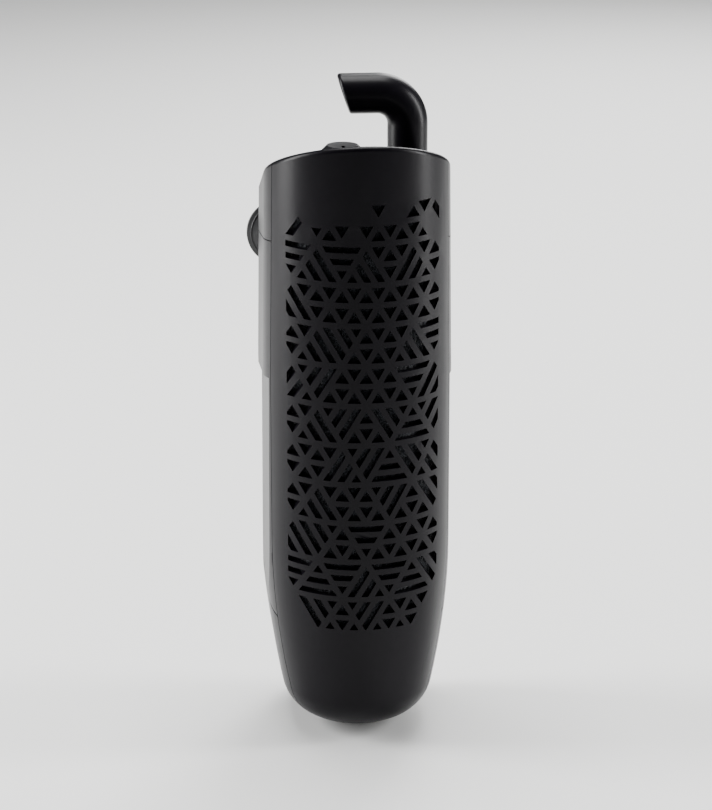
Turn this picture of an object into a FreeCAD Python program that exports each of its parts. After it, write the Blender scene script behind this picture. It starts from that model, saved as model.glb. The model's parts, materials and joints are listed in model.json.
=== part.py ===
import FreeCAD, Part
import math
import os
import random
import re
from types import SimpleNamespace

import Sketcher
from FreeCAD import Placement, Rotation, Vector

# A submersible aquarium filter that hangs on the inside of the back glass by three suction cups.
# Millimetres, +Z up. The glass is the plane y = 0, the filter's front faces -Y, and the origin is the
# centre of the lower suction cup's face.

# ---------------------------------------------------------------- driving dimensions

SIZES = [
    # casing
    ("half_width", 29.6, "half of the casing's width at its widest"),
    ("standoff", 9.0, "glass to the back of the casing"),
    ("centre_depth", 35.0, "glass to the axis of the round front"),
    ("wall", 2.2, "casing wall"),
    ("top_front", 121.0, "height of the slanted top at its foremost point"),
    ("top_slope", 24.0, "fall of the top towards the glass, in degrees"),
    ("haunch_start", -8.0, "height below which the sides curve in"),
    ("haunch_radius", 260.0, "side curve above the bottom corners"),
    ("corner_radius", 14.0, "bottom corners, seen from the front"),
    ("bottom_radius", 36.0, "underside, seen from the front"),
    ("bottom_level", -75.0, "lowest point"),
    ("taper_start", 45.0, "height above which the sides taper"),
    ("taper", 1.1, "half width lost from taper_start to top_front"),
    ("back_top_radius", 9.0, "top edge at the back"),
    ("back_bottom_radius", 16.0, "bottom edge at the back"),
    ("back_edge_radius", 4.0, "upright edges at the back"),
    ("rim_radius", 1.3, "outer edge of the slanted top"),
    ("seam_depth", 45.0, "glass to the seam of the front cover"),
    ("seam_gap", 0.3, "open width of the casing's seams"),
    ("head_seam", 82.2, "height of the head's seam at the back"),
    ("head_seam_rise", 8.0, "rise of the head's seam towards the front, in degrees"),
    ("clearance", 0.3, "between pieces that only lie beside each other"),
    ("shaft_play", 0.08, "radial play of a turning fit"),
    # finger recess and moulded line on each side
    ("recess_depth", 1.3, "depth of the recess under its upper edge"),
    ("recess_top", 39.0, "upper edge of the recess at the back"),
    ("recess_rise", 7.0, "rise of that edge towards the front, in degrees"),
    ("recess_end", -30.0, "height where the recess has run out"),
    ("line_level", -27.0, "moulded line at the back"),
    ("line_fall", 14.0, "fall of that line towards the front, in degrees"),
    ("line_width", 0.5, "moulded line"),
    ("line_depth", 0.4, "moulded line"),
    ("line_start", 25.0, "half width at which the line starts"),
    # intake lattice
    ("window_half_width", 23.4, "half width of the lattice"),
    ("window_top", 103.0, "top of the lattice"),
    ("window_bottom", -34.0, "bottom of the lattice"),
    ("window_corner", 7.5, "width of the lattice's cut lower corners"),
    ("lattice_cell", 14.6, "side of a large triangle"),
    ("lattice_rib", 1.8, "rib between two openings"),
    ("ragged_share", 0.5, "share of openings left out of the top row"),
    ("smallest_opening", 1.6, "area under which an opening is left out"),
    # suction cups
    ("cup_radius", 10.75, "suction cup"),
    ("cup_spacing", 21.4, "half the distance between the upper cups"),
    ("cup_rise", 79.0, "lower cup to upper cups"),
    ("cup_lip", 1.0, "thickness of the lip"),
    ("cup_rim", 1.9, "width of the flat rim on the glass"),
    ("cup_dish", 2.2, "depth of the hollow face"),
    ("cup_boss_radius", 5.2, "boss behind the lip"),
    ("cup_cone_depth", 4.4, "depth of the cone behind the lip"),
    ("stud_radius", 2.5, "casing stud that carries a cup"),
    ("stud_play", 0.1, "radial play of a cup on its stud"),
    # motor
    ("rotor_x", -15.2, "rotor axis"),
    ("rotor_depth", 24.0, "glass to the rotor axis"),
    ("can_left", -25.9, "left side of the motor can"),
    ("can_width", 35.0, "motor can, across"),
    ("can_thickness", 24.0, "motor can, from front to back"),
    ("can_base", 50.0, "underside of the motor can"),
    ("can_height", 38.0, "motor can"),
    ("can_wall", 1.6, "motor can wall"),
    ("well_radius", 7.2, "bore that the rotor turns in"),
    ("well_wall", 1.2, "wall of the rotor well"),
    ("well_height", 30.0, "depth of the rotor well"),
    ("resin_drop", 0.8, "resin surface below the can's rim"),
    ("core_lift", 6.0, "stator core above the can's underside"),
    ("core_height", 18.0, "stack of laminations"),
    ("core_left", -20.5, "open ends of the core's poles"),
    ("core_half_depth", 10.2, "half of the core from front to back"),
    ("core_play", 0.2, "between the core and the rotor well"),
    ("yoke_left", -2.3, "inner side of the core's yoke"),
    ("yoke_width", 5.5, "yoke"),
    ("pole_gap", 5.2, "half of the gap between the core's arms"),
    ("bobbin_wall", 1.0, "coil bobbin"),
    ("coil_build", 3.0, "thickness of the winding"),
    # rotor
    ("axle_radius", 1.0, "ceramic axle"),
    ("magnet_radius", 6.6, "rotor magnet"),
    ("magnet_bore", 2.0, "bore of the magnet"),
    ("magnet_base", 55.5, "underside of the magnet"),
    ("magnet_length", 20.5, "rotor magnet"),
    ("hub_radius", 3.2, "impeller hub"),
    ("hub_base", 40.9, "underside of the hub"),
    ("disc_radius", 8.0, "impeller disc"),
    ("disc_base", 45.4, "underside of the disc"),
    ("disc_height", 1.4, "impeller disc"),
    ("blade_thickness", 1.2, "impeller blade"),
    ("bush_radius", 2.4, "rubber bush on each end of the axle"),
    ("bush_length", 2.8, "rubber bush"),
    ("bush_play", 0.05, "radial play of a bush in its seat"),
    ("seat_wall", 1.1, "wall of a bush's seat"),
    # pump tray and volute
    ("tray_base", 36.0, "underside of the pump tray"),
    ("tray_height", 2.4, "pump tray"),
    ("tray_inset", 2.6, "tray edge to the casing's outside"),
    ("ledge_width", 3.0, "ledge under the tray"),
    ("ledge_height", 2.6, "ledge under the tray"),
    ("intake_holes", 5, "holes round the axle's seat"),
    ("intake_hole_radius", 2.1, "intake hole"),
    ("intake_circle", 5.0, "radius of the circle that the holes lie on"),
    ("chamber_radius", 9.5, "impeller chamber"),
    ("chamber_wall", 1.6, "wall round the chamber"),
    ("chamber_roof", 1.8, "roof of the chamber"),
    ("duct_width", 7.0, "duct from the chamber to the riser"),
    ("duct_height", 5.8, "duct"),
    ("duct_floor", 1.6, "floor of the duct"),
    ("lug_radius", 3.0, "lug for a pump screw"),
    ("lug_height", 5.6, "lug for a pump screw"),
    ("lug_x", 3.0, "pump screws"),
    ("lug_reach", 9.4, "pump screw to the riser's plane"),
    # riser and nozzle
    ("nozzle_x", 16.5, "nozzle axis"),
    ("nozzle_depth", 27.0, "glass to the nozzle axis"),
    ("riser_radius", 6.45, "riser pipe"),
    ("riser_bore", 4.5, "bore of the riser pipe"),
    ("riser_seat", 4.0, "depth of the riser's seats"),
    ("socket_wall", 1.2, "wall of the nozzle's socket"),
    ("socket_base", 88.5, "underside of the nozzle's socket"),
    ("socket_top", 109.5, "top of the nozzle's socket"),
    ("nozzle_radius", 6.25, "nozzle tube"),
    ("nozzle_bore", 4.2, "bore of the nozzle"),
    ("nozzle_axis_height", 128.8, "axis of the nozzle's arm"),
    ("bend_radius", 9.6, "centre line of the nozzle's bend"),
    ("arm_reach", 22.2, "nozzle axis to the arm's longest side"),
    ("tip_slant", 4.4, "how far the tip is cut back at its underside"),
    ("tip_round", 0.9, "outer edge of the tip"),
    ("ring_rise", 5.0, "O-ring above the nozzle's lower end"),
    ("ring_section", 0.55, "radius of the O-ring's section"),
    # flow dial
    ("dial_x", -4.9, "dial axis"),
    ("dial_depth", 40.0, "glass to the dial axis"),
    ("dial_base", 110.2, "underside of the dial"),
    ("dial_radius", 7.5, "dial"),
    ("dial_height", 5.4, "dial"),
    ("dial_bevel", 2.7, "bevel round the dial's top"),
    ("dial_bore_depth", 3.2, "depth of the dial's bore"),
    ("dial_rod_radius", 2.0, "rod from the dial to the shutter"),
    ("dial_well_play", 0.5, "gap round the dial in its well"),
    ("pedestal_radius", 9.2, "boss under and round the dial"),
    ("seal_radius", 3.35, "seal round the dial's rod"),
    ("seal_height", 1.5, "seal round the dial's rod"),
    ("shutter_gap", 1.2, "tray to shutter"),
    ("shutter_height", 1.2, "shutter"),
    ("shutter_disc", 7.2, "radius of the shutter's disc"),
    ("shutter_arm", 5.0, "width of the shutter's arm"),
    ("shutter_open", 60.0, "turn from open to closed, in degrees"),
    # top cap
    ("cap_drop", 0.6, "cap below the casing's rim"),
    ("cap_height", 2.4, "cap"),
    ("gland_x", -12.0, "cable gland"),
    ("gland_depth", 20.0, "glass to the cable gland"),
    ("gland_radius", 4.0, "neck of the gland"),
    ("gland_flange", 5.5, "flange of the gland"),
    ("gland_bore", 2.6, "bore for the cable"),
    ("cap_screw_x", 23.0, "cap screws"),
    ("cap_screw_depth", 15.0, "glass to the cap screws"),
    ("screw_radius", 1.25, "screw shank"),
    ("screw_head", 2.5, "radius of a screw's head"),
    ("screw_length", 7.0, "screw shank"),
    ("boss_radius", 2.7, "boss under a cap screw"),
    ("boss_height", 5.0, "boss under a cap screw"),
    # divider and filter media
    ("divider_gap", 0.4, "seam to the divider's front"),
    ("divider_thickness", 1.4, "divider between front and rear chamber"),
    ("divider_top", 104.0, "top of the divider"),
    ("slot_rows", 8, "rows of slots in the divider"),
    ("slot_columns", 5, "slots in a row"),
    ("slot_width", 5.0, "divider slot"),
    ("slot_height", 13.0, "divider slot"),
    ("slot_bridge", 3.2, "bridge between two slots"),
    ("slots_bottom", -38.0, "lowest slot"),
    ("rail_height", 48.0, "rail that the divider rests on"),
    ("rail_base", -20.0, "lower end of the rail"),
    ("pad_thickness", 5.0, "carbon pad"),
    ("media_inset", 5.2, "rear foam and carbon pad to the casing's outside"),
    ("foam_gap", 0.6, "front foam to the cover's inside"),
    ("foam_top_gap", 1.0, "foam to the cap"),
    ("rear_foam_top", 32.0, "top of the rear foam"),
    # catch lugs of the cover
    ("catch_inner", 23.4, "inner side of a catch lug"),
    ("catch_width", 1.6, "catch lug"),
    ("catch_base", 55.0, "lower end of a catch lug"),
    ("catch_height", 10.0, "catch lug"),
    ("catch_reach", 4.5, "how far a catch lug enters the rear housing"),
]

doc = FreeCAD.newDocument("aquarium_filter")
sheet = doc.addObject("Spreadsheet::Sheet", "sizes")
for row, (alias, number, note) in enumerate(SIZES, start=1):
    sheet.set(f"A{row}", str(number))
    sheet.setAlias(f"A{row}", alias)
    sheet.set(f"B{row}", note)
doc.recompute()

S = SimpleNamespace(**{alias: float(sheet.get(alias)) for alias, _, _ in SIZES})
ALIASES = {alias for alias, _, _ in SIZES}
PLAIN = 60.0  # further out than anything, for blocks that only cut
SUBPARTS = []

# ---------------------------------------------------------------- helpers


def bound(text):
    """The expression with each alias looked up in the sheet."""
    return re.sub(r"[a-z_]+", lambda m: "sizes." + m[0] if m[0] in ALIASES else m[0], text)


def subpart(thing, name):
    """Marks an object as a finished sub-part: its Label names its file."""
    thing.Label = name
    SUBPARTS.append(thing)
    return thing


def place(thing, x, y, z):
    for axis, text in zip("xyz", (x, y, z)):
        thing.setExpression(f"Placement.Base.{axis}", bound(text))
    return thing


def box(name, x, y, z):
    """A block between two expressions on each axis."""
    thing = doc.addObject("Part::Box", name)
    for side, (low, high) in zip(("Length", "Width", "Height"), (x, y, z)):
        thing.setExpression(side, bound(f"({high}) - ({low})"))
    return place(thing, x[0], y[0], z[0])


def rod(name, radius, x, y, z):
    """An upright cylinder between two heights."""
    thing = doc.addObject("Part::Cylinder", name)
    thing.setExpression("Radius", bound(radius))
    thing.setExpression("Height", bound(f"({z[1]}) - ({z[0]})"))
    return place(thing, x, y, z[0])


def fuse(name, things):
    thing = doc.addObject("Part::MultiFuse", name)
    thing.Shapes = things
    thing.Refine = True
    return thing


def cut(name, base, tools):
    thing = doc.addObject("Part::Cut", name)
    thing.Base = base
    thing.Tool = tools[0] if len(tools) == 1 else fuse(name + "_tools", tools)
    thing.Refine = True
    return thing


def solid(name, shape):
    """A shape that Part's own functions made."""
    thing = doc.addObject("Part::Feature", name)
    thing.Shape = shape
    return thing


def new_sketch(body, name, role):
    plane = next(f for f in body.Origin.OriginFeatures if f.Role == role)
    sketch = body.newObject("Sketcher::SketchObject", name)
    sketch.AttachmentSupport = [(plane, "")]
    sketch.MapMode = "FlatFace"
    return sketch


def fix_point(sketch, curve, end, across, up, guess):
    """Ties one end of a curve to the sheet: its distances from the sketch's origin."""
    for text, kind, axis, number in ((across, "DistanceX", -2, guess.x), (up, "DistanceY", -1, guess.y)):
        if text == "0":
            sketch.addConstraint(Sketcher.Constraint("PointOnObject", curve, end, axis))
            continue
        index = sketch.addConstraint(Sketcher.Constraint(kind, -1, 1, curve, end, number))
        sketch.setExpression(f"Constraints[{index}]", bound(text))


def number_of(text):
    """The present value of an expression, worked out by the sheet itself."""
    scratch = f"D{len(SIZES) + 2}"
    sheet.set(scratch, "=" + re.sub(r"sizes\.", "", bound(text)))
    sheet.recompute()
    return float(sheet.get(scratch))


def polygon(sketch, points):
    """A closed outline whose corners are pairs of expressions."""
    guesses = [Vector(number_of(across), number_of(up), 0) for across, up in points]
    count = len(points)
    for i in range(count):
        sketch.addGeometry(Part.LineSegment(guesses[i], guesses[(i + 1) % count]), False)
    for i in range(count):
        sketch.addConstraint(Sketcher.Constraint("Coincident", i, 2, (i + 1) % count, 1))
    for i, (across, up) in enumerate(points):
        fix_point(sketch, i, 1, across, up, guesses[i])


def turned(name, points):
    """A body turned round its own Z axis from pairs of radius and height."""
    body = doc.addObject("PartDesign::Body", name)
    sketch = new_sketch(body, name + "_section", "XZ_Plane")
    polygon(sketch, points)
    feature = body.newObject("PartDesign::Revolution", name + "_turned")
    feature.Profile = sketch
    feature.ReferenceAxis = (sketch, ["V_Axis"])
    feature.Angle = 360
    return body


# ---------------------------------------------------------------- casing outline


def toward(start, end, distance):
    length = math.hypot(end[0] - start[0], end[1] - start[1])
    share = distance / length
    return (start[0] + (end[0] - start[0]) * share, start[1] + (end[1] - start[1]) * share)


def lower_meeting(first, first_radius, second, second_radius):
    """The lower of the two points where two circles cross."""
    dx, dz = second[0] - first[0], second[1] - first[1]
    apart = math.hypot(dx, dz)
    along = (first_radius**2 - second_radius**2 + apart**2) / (2 * apart)
    aside = math.sqrt(first_radius**2 - along**2)
    foot = toward(first, second, along)
    crossings = [
        (foot[0] - side * aside * dz / apart, foot[1] + side * aside * dx / apart) for side in (-1, 1)
    ]
    return min(crossings, key=lambda p: p[1])


def half_outline(inset, top):
    """The casing's right-hand outline seen from the front, bottom centre to top, moved in by inset."""
    haunch = (S.half_width - S.haunch_radius, S.haunch_start)
    bottom = (0.0, S.bottom_level + S.bottom_radius)
    corner = lower_meeting(
        haunch, S.haunch_radius - S.corner_radius, bottom, S.bottom_radius - S.corner_radius
    )
    slope = S.taper / (S.top_front - S.taper_start)
    points = [
        (0.0, S.bottom_level + inset),
        toward(bottom, corner, S.bottom_radius - inset),
        toward(haunch, corner, S.haunch_radius - inset),
        (S.half_width - inset, S.haunch_start),
        (S.half_width - inset, S.taper_start),
        (S.half_width - inset - slope * (top - S.taper_start), top),
    ]
    centres = [bottom, corner, haunch]
    edges = []
    for i, centre in enumerate(centres):
        start, end = points[i], points[i + 1]
        radius = math.dist(centre, start)
        chord_middle = ((start[0] + end[0]) / 2, (start[1] + end[1]) / 2)
        middle = toward(centre, chord_middle, radius)
        edges.append(Part.Arc(flat(start), flat(middle), flat(end)).toShape())
    for start, end in zip(points[3:], points[4:]):
        edges.append(Part.makeLine(flat(start), flat(end)))
    return edges, points


def flat(point):
    """A point of the front view, in the plane of the round front's axis."""
    return Vector(point[0], -S.centre_depth, point[1])


def side_block(points, half_width=PLAIN):
    """A prism across the casing from a side view of (y, z) points."""
    wire = Part.makePolygon([Vector(-half_width, y, z) for y, z in points + points[:1]])
    return Part.Face(wire).extrude(Vector(2 * half_width, 0, 0))


def top_height(y, drop=0.0):
    """Height of the slanted top at a depth, or of a plane that lies drop below it."""
    front = -(S.centre_depth + S.half_width)
    slope = math.radians(S.top_slope)
    return S.top_front - math.tan(slope) * (y - front) - drop / math.cos(slope)


def rounded_block(corner, first, second, radius, outer):
    """What a rounding takes off a corner of the side view: the corner's two directions and its outside."""
    half = math.acos(first[0] * second[0] + first[1] * second[1]) / 2
    reach = radius / math.tan(half)
    start = (corner[0] + first[0] * reach, corner[1] + first[1] * reach)
    end = (corner[0] + second[0] * reach, corner[1] + second[1] * reach)
    bisector = toward((0.0, 0.0), (first[0] + second[0], first[1] + second[1]), 1.0)
    depth = radius / math.sin(half) - radius
    middle = (corner[0] + bisector[0] * depth, corner[1] + bisector[1] * depth)
    place_at = [Vector(-PLAIN, y, z) for y, z in (start, middle, end)]
    edges = [Part.Arc(*place_at).toShape()]
    chain = [end] + outer + [start]
    for a, b in zip(chain, chain[1:]):
        edges.append(Part.makeLine(Vector(-PLAIN, *a), Vector(-PLAIN, *b)))
    return Part.Face(Part.Wire(edges)).extrude(Vector(2 * PLAIN, 0, 0))


def top_edges(shape):
    """The edges round the slanted top."""
    edges = []
    for edge in shape.Edges:
        middle = edge.valueAt((edge.FirstParameter + edge.LastParameter) / 2)
        points = [vertex.Point for vertex in edge.Vertexes] + [middle]
        if all(abs(p.z - top_height(p.y)) < 1e-3 for p in points):
            edges.append(edge)
    return edges


def form(inset, drop=0.0, open_top=False, round_rim=False):
    """The casing's outer form moved in by inset, its slanted top lowered by drop or left open."""
    top = S.top_front + PLAIN / 2
    edges, points = half_outline(inset, top)
    axis_line = Part.makeLine(flat((0.0, top)), flat(points[0]))
    lid = Part.makeLine(flat(points[-1]), flat((0.0, top)))
    half = Part.Face(Part.Wire(Part.__sortEdges__(edges + [lid, axis_line])))
    back = -(S.standoff + inset)
    right = half.extrude(Vector(0, back + S.centre_depth, 0))
    rear = right.fuse(right.mirror(Vector(), Vector(1, 0, 0))).removeSplitter()
    rounding = S.back_edge_radius - inset
    if rounding > S.seam_gap:
        rim = [e for e in rear.Edges if abs(e.BoundBox.YMin - back) < 1e-4 and e.BoundBox.ZMin < top - 1]
        rear = rear.makeFillet(rounding, [e for e in rim if e.BoundBox.YMax - back < 1e-4])
    front = half.revolve(flat((0.0, 0.0)), Vector(0, 0, 1), -180)
    whole = rear.fuse(front).removeSplitter()
    bite = 0.3  # the bottom rounding runs out at a small angle instead of a tangent
    low = S.bottom_level + inset - bite
    radius = S.back_bottom_radius - inset
    outside = [(back - radius, low - 5), (back + 5, low - 5), (back + 5, low + radius)]
    whole = whole.cut(rounded_block((back, low), (0, 1), (-1, 0), radius, outside))
    if open_top:
        return whole.cut(side_block([(-2 * PLAIN, top - 5), (5, top - 5), (5, top + 5), (-2 * PLAIN, top + 5)]))
    slope = math.radians(S.top_slope)
    far = -2 * PLAIN
    above = [(far, top_height(far, drop)), (5, top_height(5, drop)), (5, top + 5), (far, top + 5)]
    whole = whole.cut(side_block(above))
    if round_rim:
        whole = whole.makeFillet(S.rim_radius, top_edges(whole))
    corner = (back, top_height(back, drop))
    outside = [(back - 1, corner[1] + 9), (back + 5, corner[1] + 9), (back + 5, corner[1] - 9)]
    radius = S.back_top_radius - inset
    forward = (-math.cos(slope), math.sin(slope))
    return whole.cut(rounded_block(corner, (0, -1), forward, radius, outside))


def between(y, z):
    """A block across the casing between two depths and two heights."""
    return side_block([(y[0], z[0]), (y[1], z[0]), (y[1], z[1]), (y[0], z[1])])


def below_line(height, rise, gap):
    """Everything under a line of the side view that rises towards the front from its height at the back."""
    slope = math.tan(math.radians(rise))

    def line(y):
        return height + gap + slope * (-S.standoff - y)

    return side_block([(-2 * PLAIN, -3 * PLAIN), (5, -3 * PLAIN), (5, line(5)), (-2 * PLAIN, line(-2 * PLAIN))])


# ---------------------------------------------------------------- intake lattice


def shrink(corners, margin):
    """A convex outline with every side moved in by margin, or None if nothing is left."""
    lines = []
    for (ax, az), (bx, bz) in zip(corners, corners[1:] + corners[:1]):
        length = math.hypot(bx - ax, bz - az)
        nx, nz = -(bz - az) / length, (bx - ax) / length
        lines.append((nx, nz, nx * ax + nz * az + margin))
    result = corners
    for line in lines:
        result = clip(result, line)
        if not result:
            return None
    return result


def clip(corners, line):
    """The part of a convex outline on the inner side of a line."""
    nx, nz, offset = line
    kept = []
    for a, b in zip(corners, corners[1:] + corners[:1]):
        da = nx * a[0] + nz * a[1] - offset
        db = nx * b[0] + nz * b[1] - offset
        if da >= 0:
            kept.append(a)
        if (da > 0 > db) or (da < 0 < db):
            share = da / (da - db)
            kept.append((a[0] + (b[0] - a[0]) * share, a[1] + (b[1] - a[1]) * share))
    return kept


def area(corners):
    pairs = zip(corners, corners[1:] + corners[:1])
    return sum(a[0] * b[1] - b[0] * a[1] for a, b in pairs) / 2


def mix(a, b, share):
    return (a[0] + (b[0] - a[0]) * share, a[1] + (b[1] - a[1]) * share)


def window():
    """The lattice's border, whose lower corners are cut along the lattice's own 60 degree lines."""
    side, low = S.window_half_width, S.window_bottom
    lift = S.window_corner * math.sqrt(3)
    return [
        (-side, low + lift),
        (-side + S.window_corner, low),
        (side - S.window_corner, low),
        (side, low + lift),
        (side, S.window_top),
        (-side, S.window_top),
    ]


def fillings(corners, style):
    """One large triangle as four small ones, or as strips along one of its sides."""
    a, b, c = corners
    if style == "small":
        ab, bc, ca = mix(a, b, 0.5), mix(b, c, 0.5), mix(c, a, 0.5)
        return [[a, ab, ca], [ab, b, bc], [ca, bc, c], [ab, bc, ca]]
    turn = int(style)
    a, b, c = (corners * 2)[turn : turn + 3]
    cuts = (0.0, 0.29, 0.58, 1.0)
    strips = []
    for low, high in zip(cuts, cuts[1:]):
        strip = [mix(a, c, low), mix(b, c, low), mix(b, c, high), mix(a, c, high)]
        strips.append(strip[:3] if high == 1.0 else strip)
    return strips


def lattice_openings():
    """Outlines of all openings, in the front view."""
    chance = random.Random(11)
    cell = S.lattice_cell
    row_height = cell * math.sqrt(3) / 2
    rows = int((S.window_top - S.window_bottom) / row_height) + 2
    columns = int(2 * S.window_half_width / cell) + 3
    border = window()
    openings = []
    for row in range(rows):
        low = S.window_top - (row + 1) * row_height
        shift = (row % 2) * cell / 2
        for column in range(-columns, columns):
            left = column * cell / 2 + shift
            pointing_up = (column % 2) == 0
            base, tip = (low, low + row_height) if pointing_up else (low + row_height, low)
            corners = [(left, base), (left + cell, base), (left + cell / 2, tip)]
            if not pointing_up:
                corners = corners[::-1]
            style = chance.choice(["small", "small", "0", "1", "2"])
            for piece in fillings(corners, style):
                if area(piece) < 0:
                    piece = piece[::-1]
                if row == 0 and chance.random() < S.ragged_share:
                    continue
                opening = shrink(piece, S.lattice_rib / 2)
                for a, b in zip(border, border[1:] + border[:1]):
                    if opening:
                        length = math.hypot(b[0] - a[0], b[1] - a[1])
                        nx, nz = -(b[1] - a[1]) / length, (b[0] - a[0]) / length
                        opening = clip(opening, (nx, nz, nx * a[0] + nz * a[1]))
                if opening and len(opening) > 2 and area(opening) > S.smallest_opening:
                    openings.append(opening)
    return openings


def opening_cutters():
    """The openings as prisms through the cover's front wall, drawn straight forward."""
    start = -(S.seam_depth + S.catch_reach)
    prisms = []
    for opening in lattice_openings():
        corners = [Vector(x, start, z) for x, z in opening]
        wire = Part.makePolygon(corners + corners[:1])
        prisms.append(Part.Face(wire).extrude(Vector(0, -PLAIN, 0)))
    return prisms


# ---------------------------------------------------------------- casing

outer = form(0.0, round_rim=True)
casing = outer.cut(form(S.wall, open_top=True))
half_gap = S.seam_gap / 2
behind_seam = between((-S.seam_depth + half_gap, 10.0), (-3 * PLAIN, 3 * PLAIN))
ahead_of_seam = between((-3 * PLAIN, -S.seam_depth - half_gap), (-3 * PLAIN, 3 * PLAIN))
rear_casing = casing.common(behind_seam)


def side_recesses():
    """Two wedges, deepest at the recess's upper edge, that run out on the curved sides."""
    drop = S.haunch_start - S.recess_end
    end = S.half_width - S.haunch_radius + math.sqrt(S.haunch_radius**2 - drop**2)
    start = S.half_width - S.recess_depth
    lean = (start - end) / (S.recess_top - S.recess_end)
    top = S.recess_top + 15
    outside = S.half_width + 5
    profile = [(end, S.recess_end), (outside, S.recess_end), (outside, top), (end + lean * (top - S.recess_end), top)]
    wire = Part.makePolygon([Vector(x, -2 * PLAIN, z) for x, z in profile + profile[:1]])
    right = Part.Face(wire).extrude(Vector(0, 3 * PLAIN, 0))
    return [right, right.mirror(Vector(), Vector(1, 0, 0))]


def moulded_line():
    """The thin line across each side, as what is cut out of the skin."""
    strip = below_line(S.line_level, -S.line_fall, S.line_width).cut(
        below_line(S.line_level, -S.line_fall, 0.0)
    )
    middle = Part.makeBox(
        2 * S.line_start, 4 * PLAIN, 6 * PLAIN, Vector(-S.line_start, -3 * PLAIN, -3 * PLAIN)
    )
    return outer.cut(form(S.line_depth)).common(strip).cut(middle)


recess = below_line(S.recess_top, S.recess_rise, 0.0).common(side_recesses()[0].fuse(side_recesses()[1]))
rear_shell = solid(
    "rear_shell",
    rear_casing.common(below_line(S.head_seam, S.head_seam_rise, -half_gap)).cut([recess, moulded_line()]),
)
head_shell = solid(
    "head_shell", rear_casing.cut(below_line(S.head_seam, S.head_seam_rise, half_gap))
)
cover_shell = solid("cover_shell", casing.common(ahead_of_seam).cut(opening_cutters()))


def stud(name, x, z):
    """A stud on the casing's back that a suction cup is pushed onto."""
    thing = doc.addObject("Part::Cylinder", name)
    thing.setExpression("Radius", bound("stud_radius"))
    thing.setExpression("Height", bound("standoff + wall / 2 - cup_cone_depth - clearance"))
    thing.Placement = Placement(Vector(), Rotation(Vector(1, 0, 0), -90))
    return place(thing, x, "-standoff - wall / 2", z)


def ledge(name, low, high):
    """A ledge on one side wall that carries the pump tray."""
    y = ("-centre_depth + clearance", "-standoff - wall / 2 - back_edge_radius")
    return box(name, (low, high), y, ("tray_base - ledge_height", "tray_base"))


def rail(name, low, high):
    """A rail on one side wall that the divider lies against."""
    y = (
        "-seam_depth + divider_gap + divider_thickness + clearance",
        "-seam_depth + divider_gap + divider_thickness + clearance + wall",
    )
    return box(name, (low, high), y, ("rail_base", "rail_base + rail_height"))


rear_housing = subpart(
    fuse(
        "rear_housing",
        [
            rear_shell,
            stud("stud_upper_left", "-cup_spacing", "cup_rise"),
            stud("stud_upper_right", "cup_spacing", "cup_rise"),
            stud("stud_lower", "0", "0"),
            ledge("ledge_left", "-half_width + wall * 0.8", "-half_width + wall + ledge_width"),
            ledge("ledge_right", "half_width - wall - ledge_width", "half_width - wall * 0.8"),
            rail("rail_left", "-half_width + wall", "-half_width + wall + 3"),
            rail("rail_right", "half_width - wall - 3", "half_width - wall"),
        ],
    ),
    "rear_housing",
)


def slanted_rod(name, radius, x, depth, low, high):
    """A cylinder square to the slanted top, between two distances from the cap's upper face."""
    thing = doc.addObject("Part::Cylinder", name)
    thing.setExpression("Radius", bound(radius))
    thing.setExpression("Height", bound(f"({high}) - ({low})"))
    thing.Placement = slanted_place(x, depth, number_of(low))
    return thing


def slanted_place(x, depth, lift):
    """Where the cap's upper face is at a depth, turned square to it and lifted along its normal."""
    slope = math.radians(S.top_slope)
    base = Vector(number_of(x), -number_of(depth), top_height(-number_of(depth), S.cap_drop))
    normal = Vector(0, math.sin(slope), math.cos(slope))
    return Placement(base + normal * lift, Rotation(Vector(1, 0, 0), -S.top_slope))


SCREW_SIDES = {"left": "-cap_screw_x", "right": "cap_screw_x"}

head_pieces = [head_shell]
head_bores = []
for side, screw_x in SCREW_SIDES.items():
    head_pieces.append(
        slanted_rod(
            f"boss_{side}",
            "boss_radius",
            screw_x,
            "cap_screw_depth",
            "-cap_height - clearance - boss_height",
            "-cap_height - clearance",
        )
    )
    web_x = (f"{screw_x} - wall / 2", f"{screw_x} + wall / 2")
    web_y = ("-cap_screw_depth - boss_radius", "-standoff - wall / 2")
    head_pieces.append(box(f"web_{side}", web_x, web_y, ("head_seam + 8", "head_seam + 10.6")))
    head_bores.append(
        slanted_rod(
            f"boss_bore_{side}",
            "screw_radius + bush_play",
            screw_x,
            "cap_screw_depth",
            "-cap_height - boss_height",
            "0",
        )
    )
head_body = fuse("head_body", head_pieces)
head_housing = subpart(cut("head_housing", head_body, head_bores), "head_housing")


def catch(name, low, high):
    """A catch lug of the cover, which enters the rear housing beside its wall."""
    y = ("-seam_depth - 4", "-seam_depth + catch_reach")
    return box(name, (low, high), y, ("catch_base", "catch_base + catch_height"))


front_cover = subpart(
    fuse(
        "front_cover",
        [
            cover_shell,
            catch("catch_left", "-catch_inner - catch_width", "-catch_inner"),
            catch("catch_right", "catch_inner", "catch_inner + catch_width"),
        ],
    ),
    "front_cover",
)

# ---------------------------------------------------------------- top cap

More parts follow.
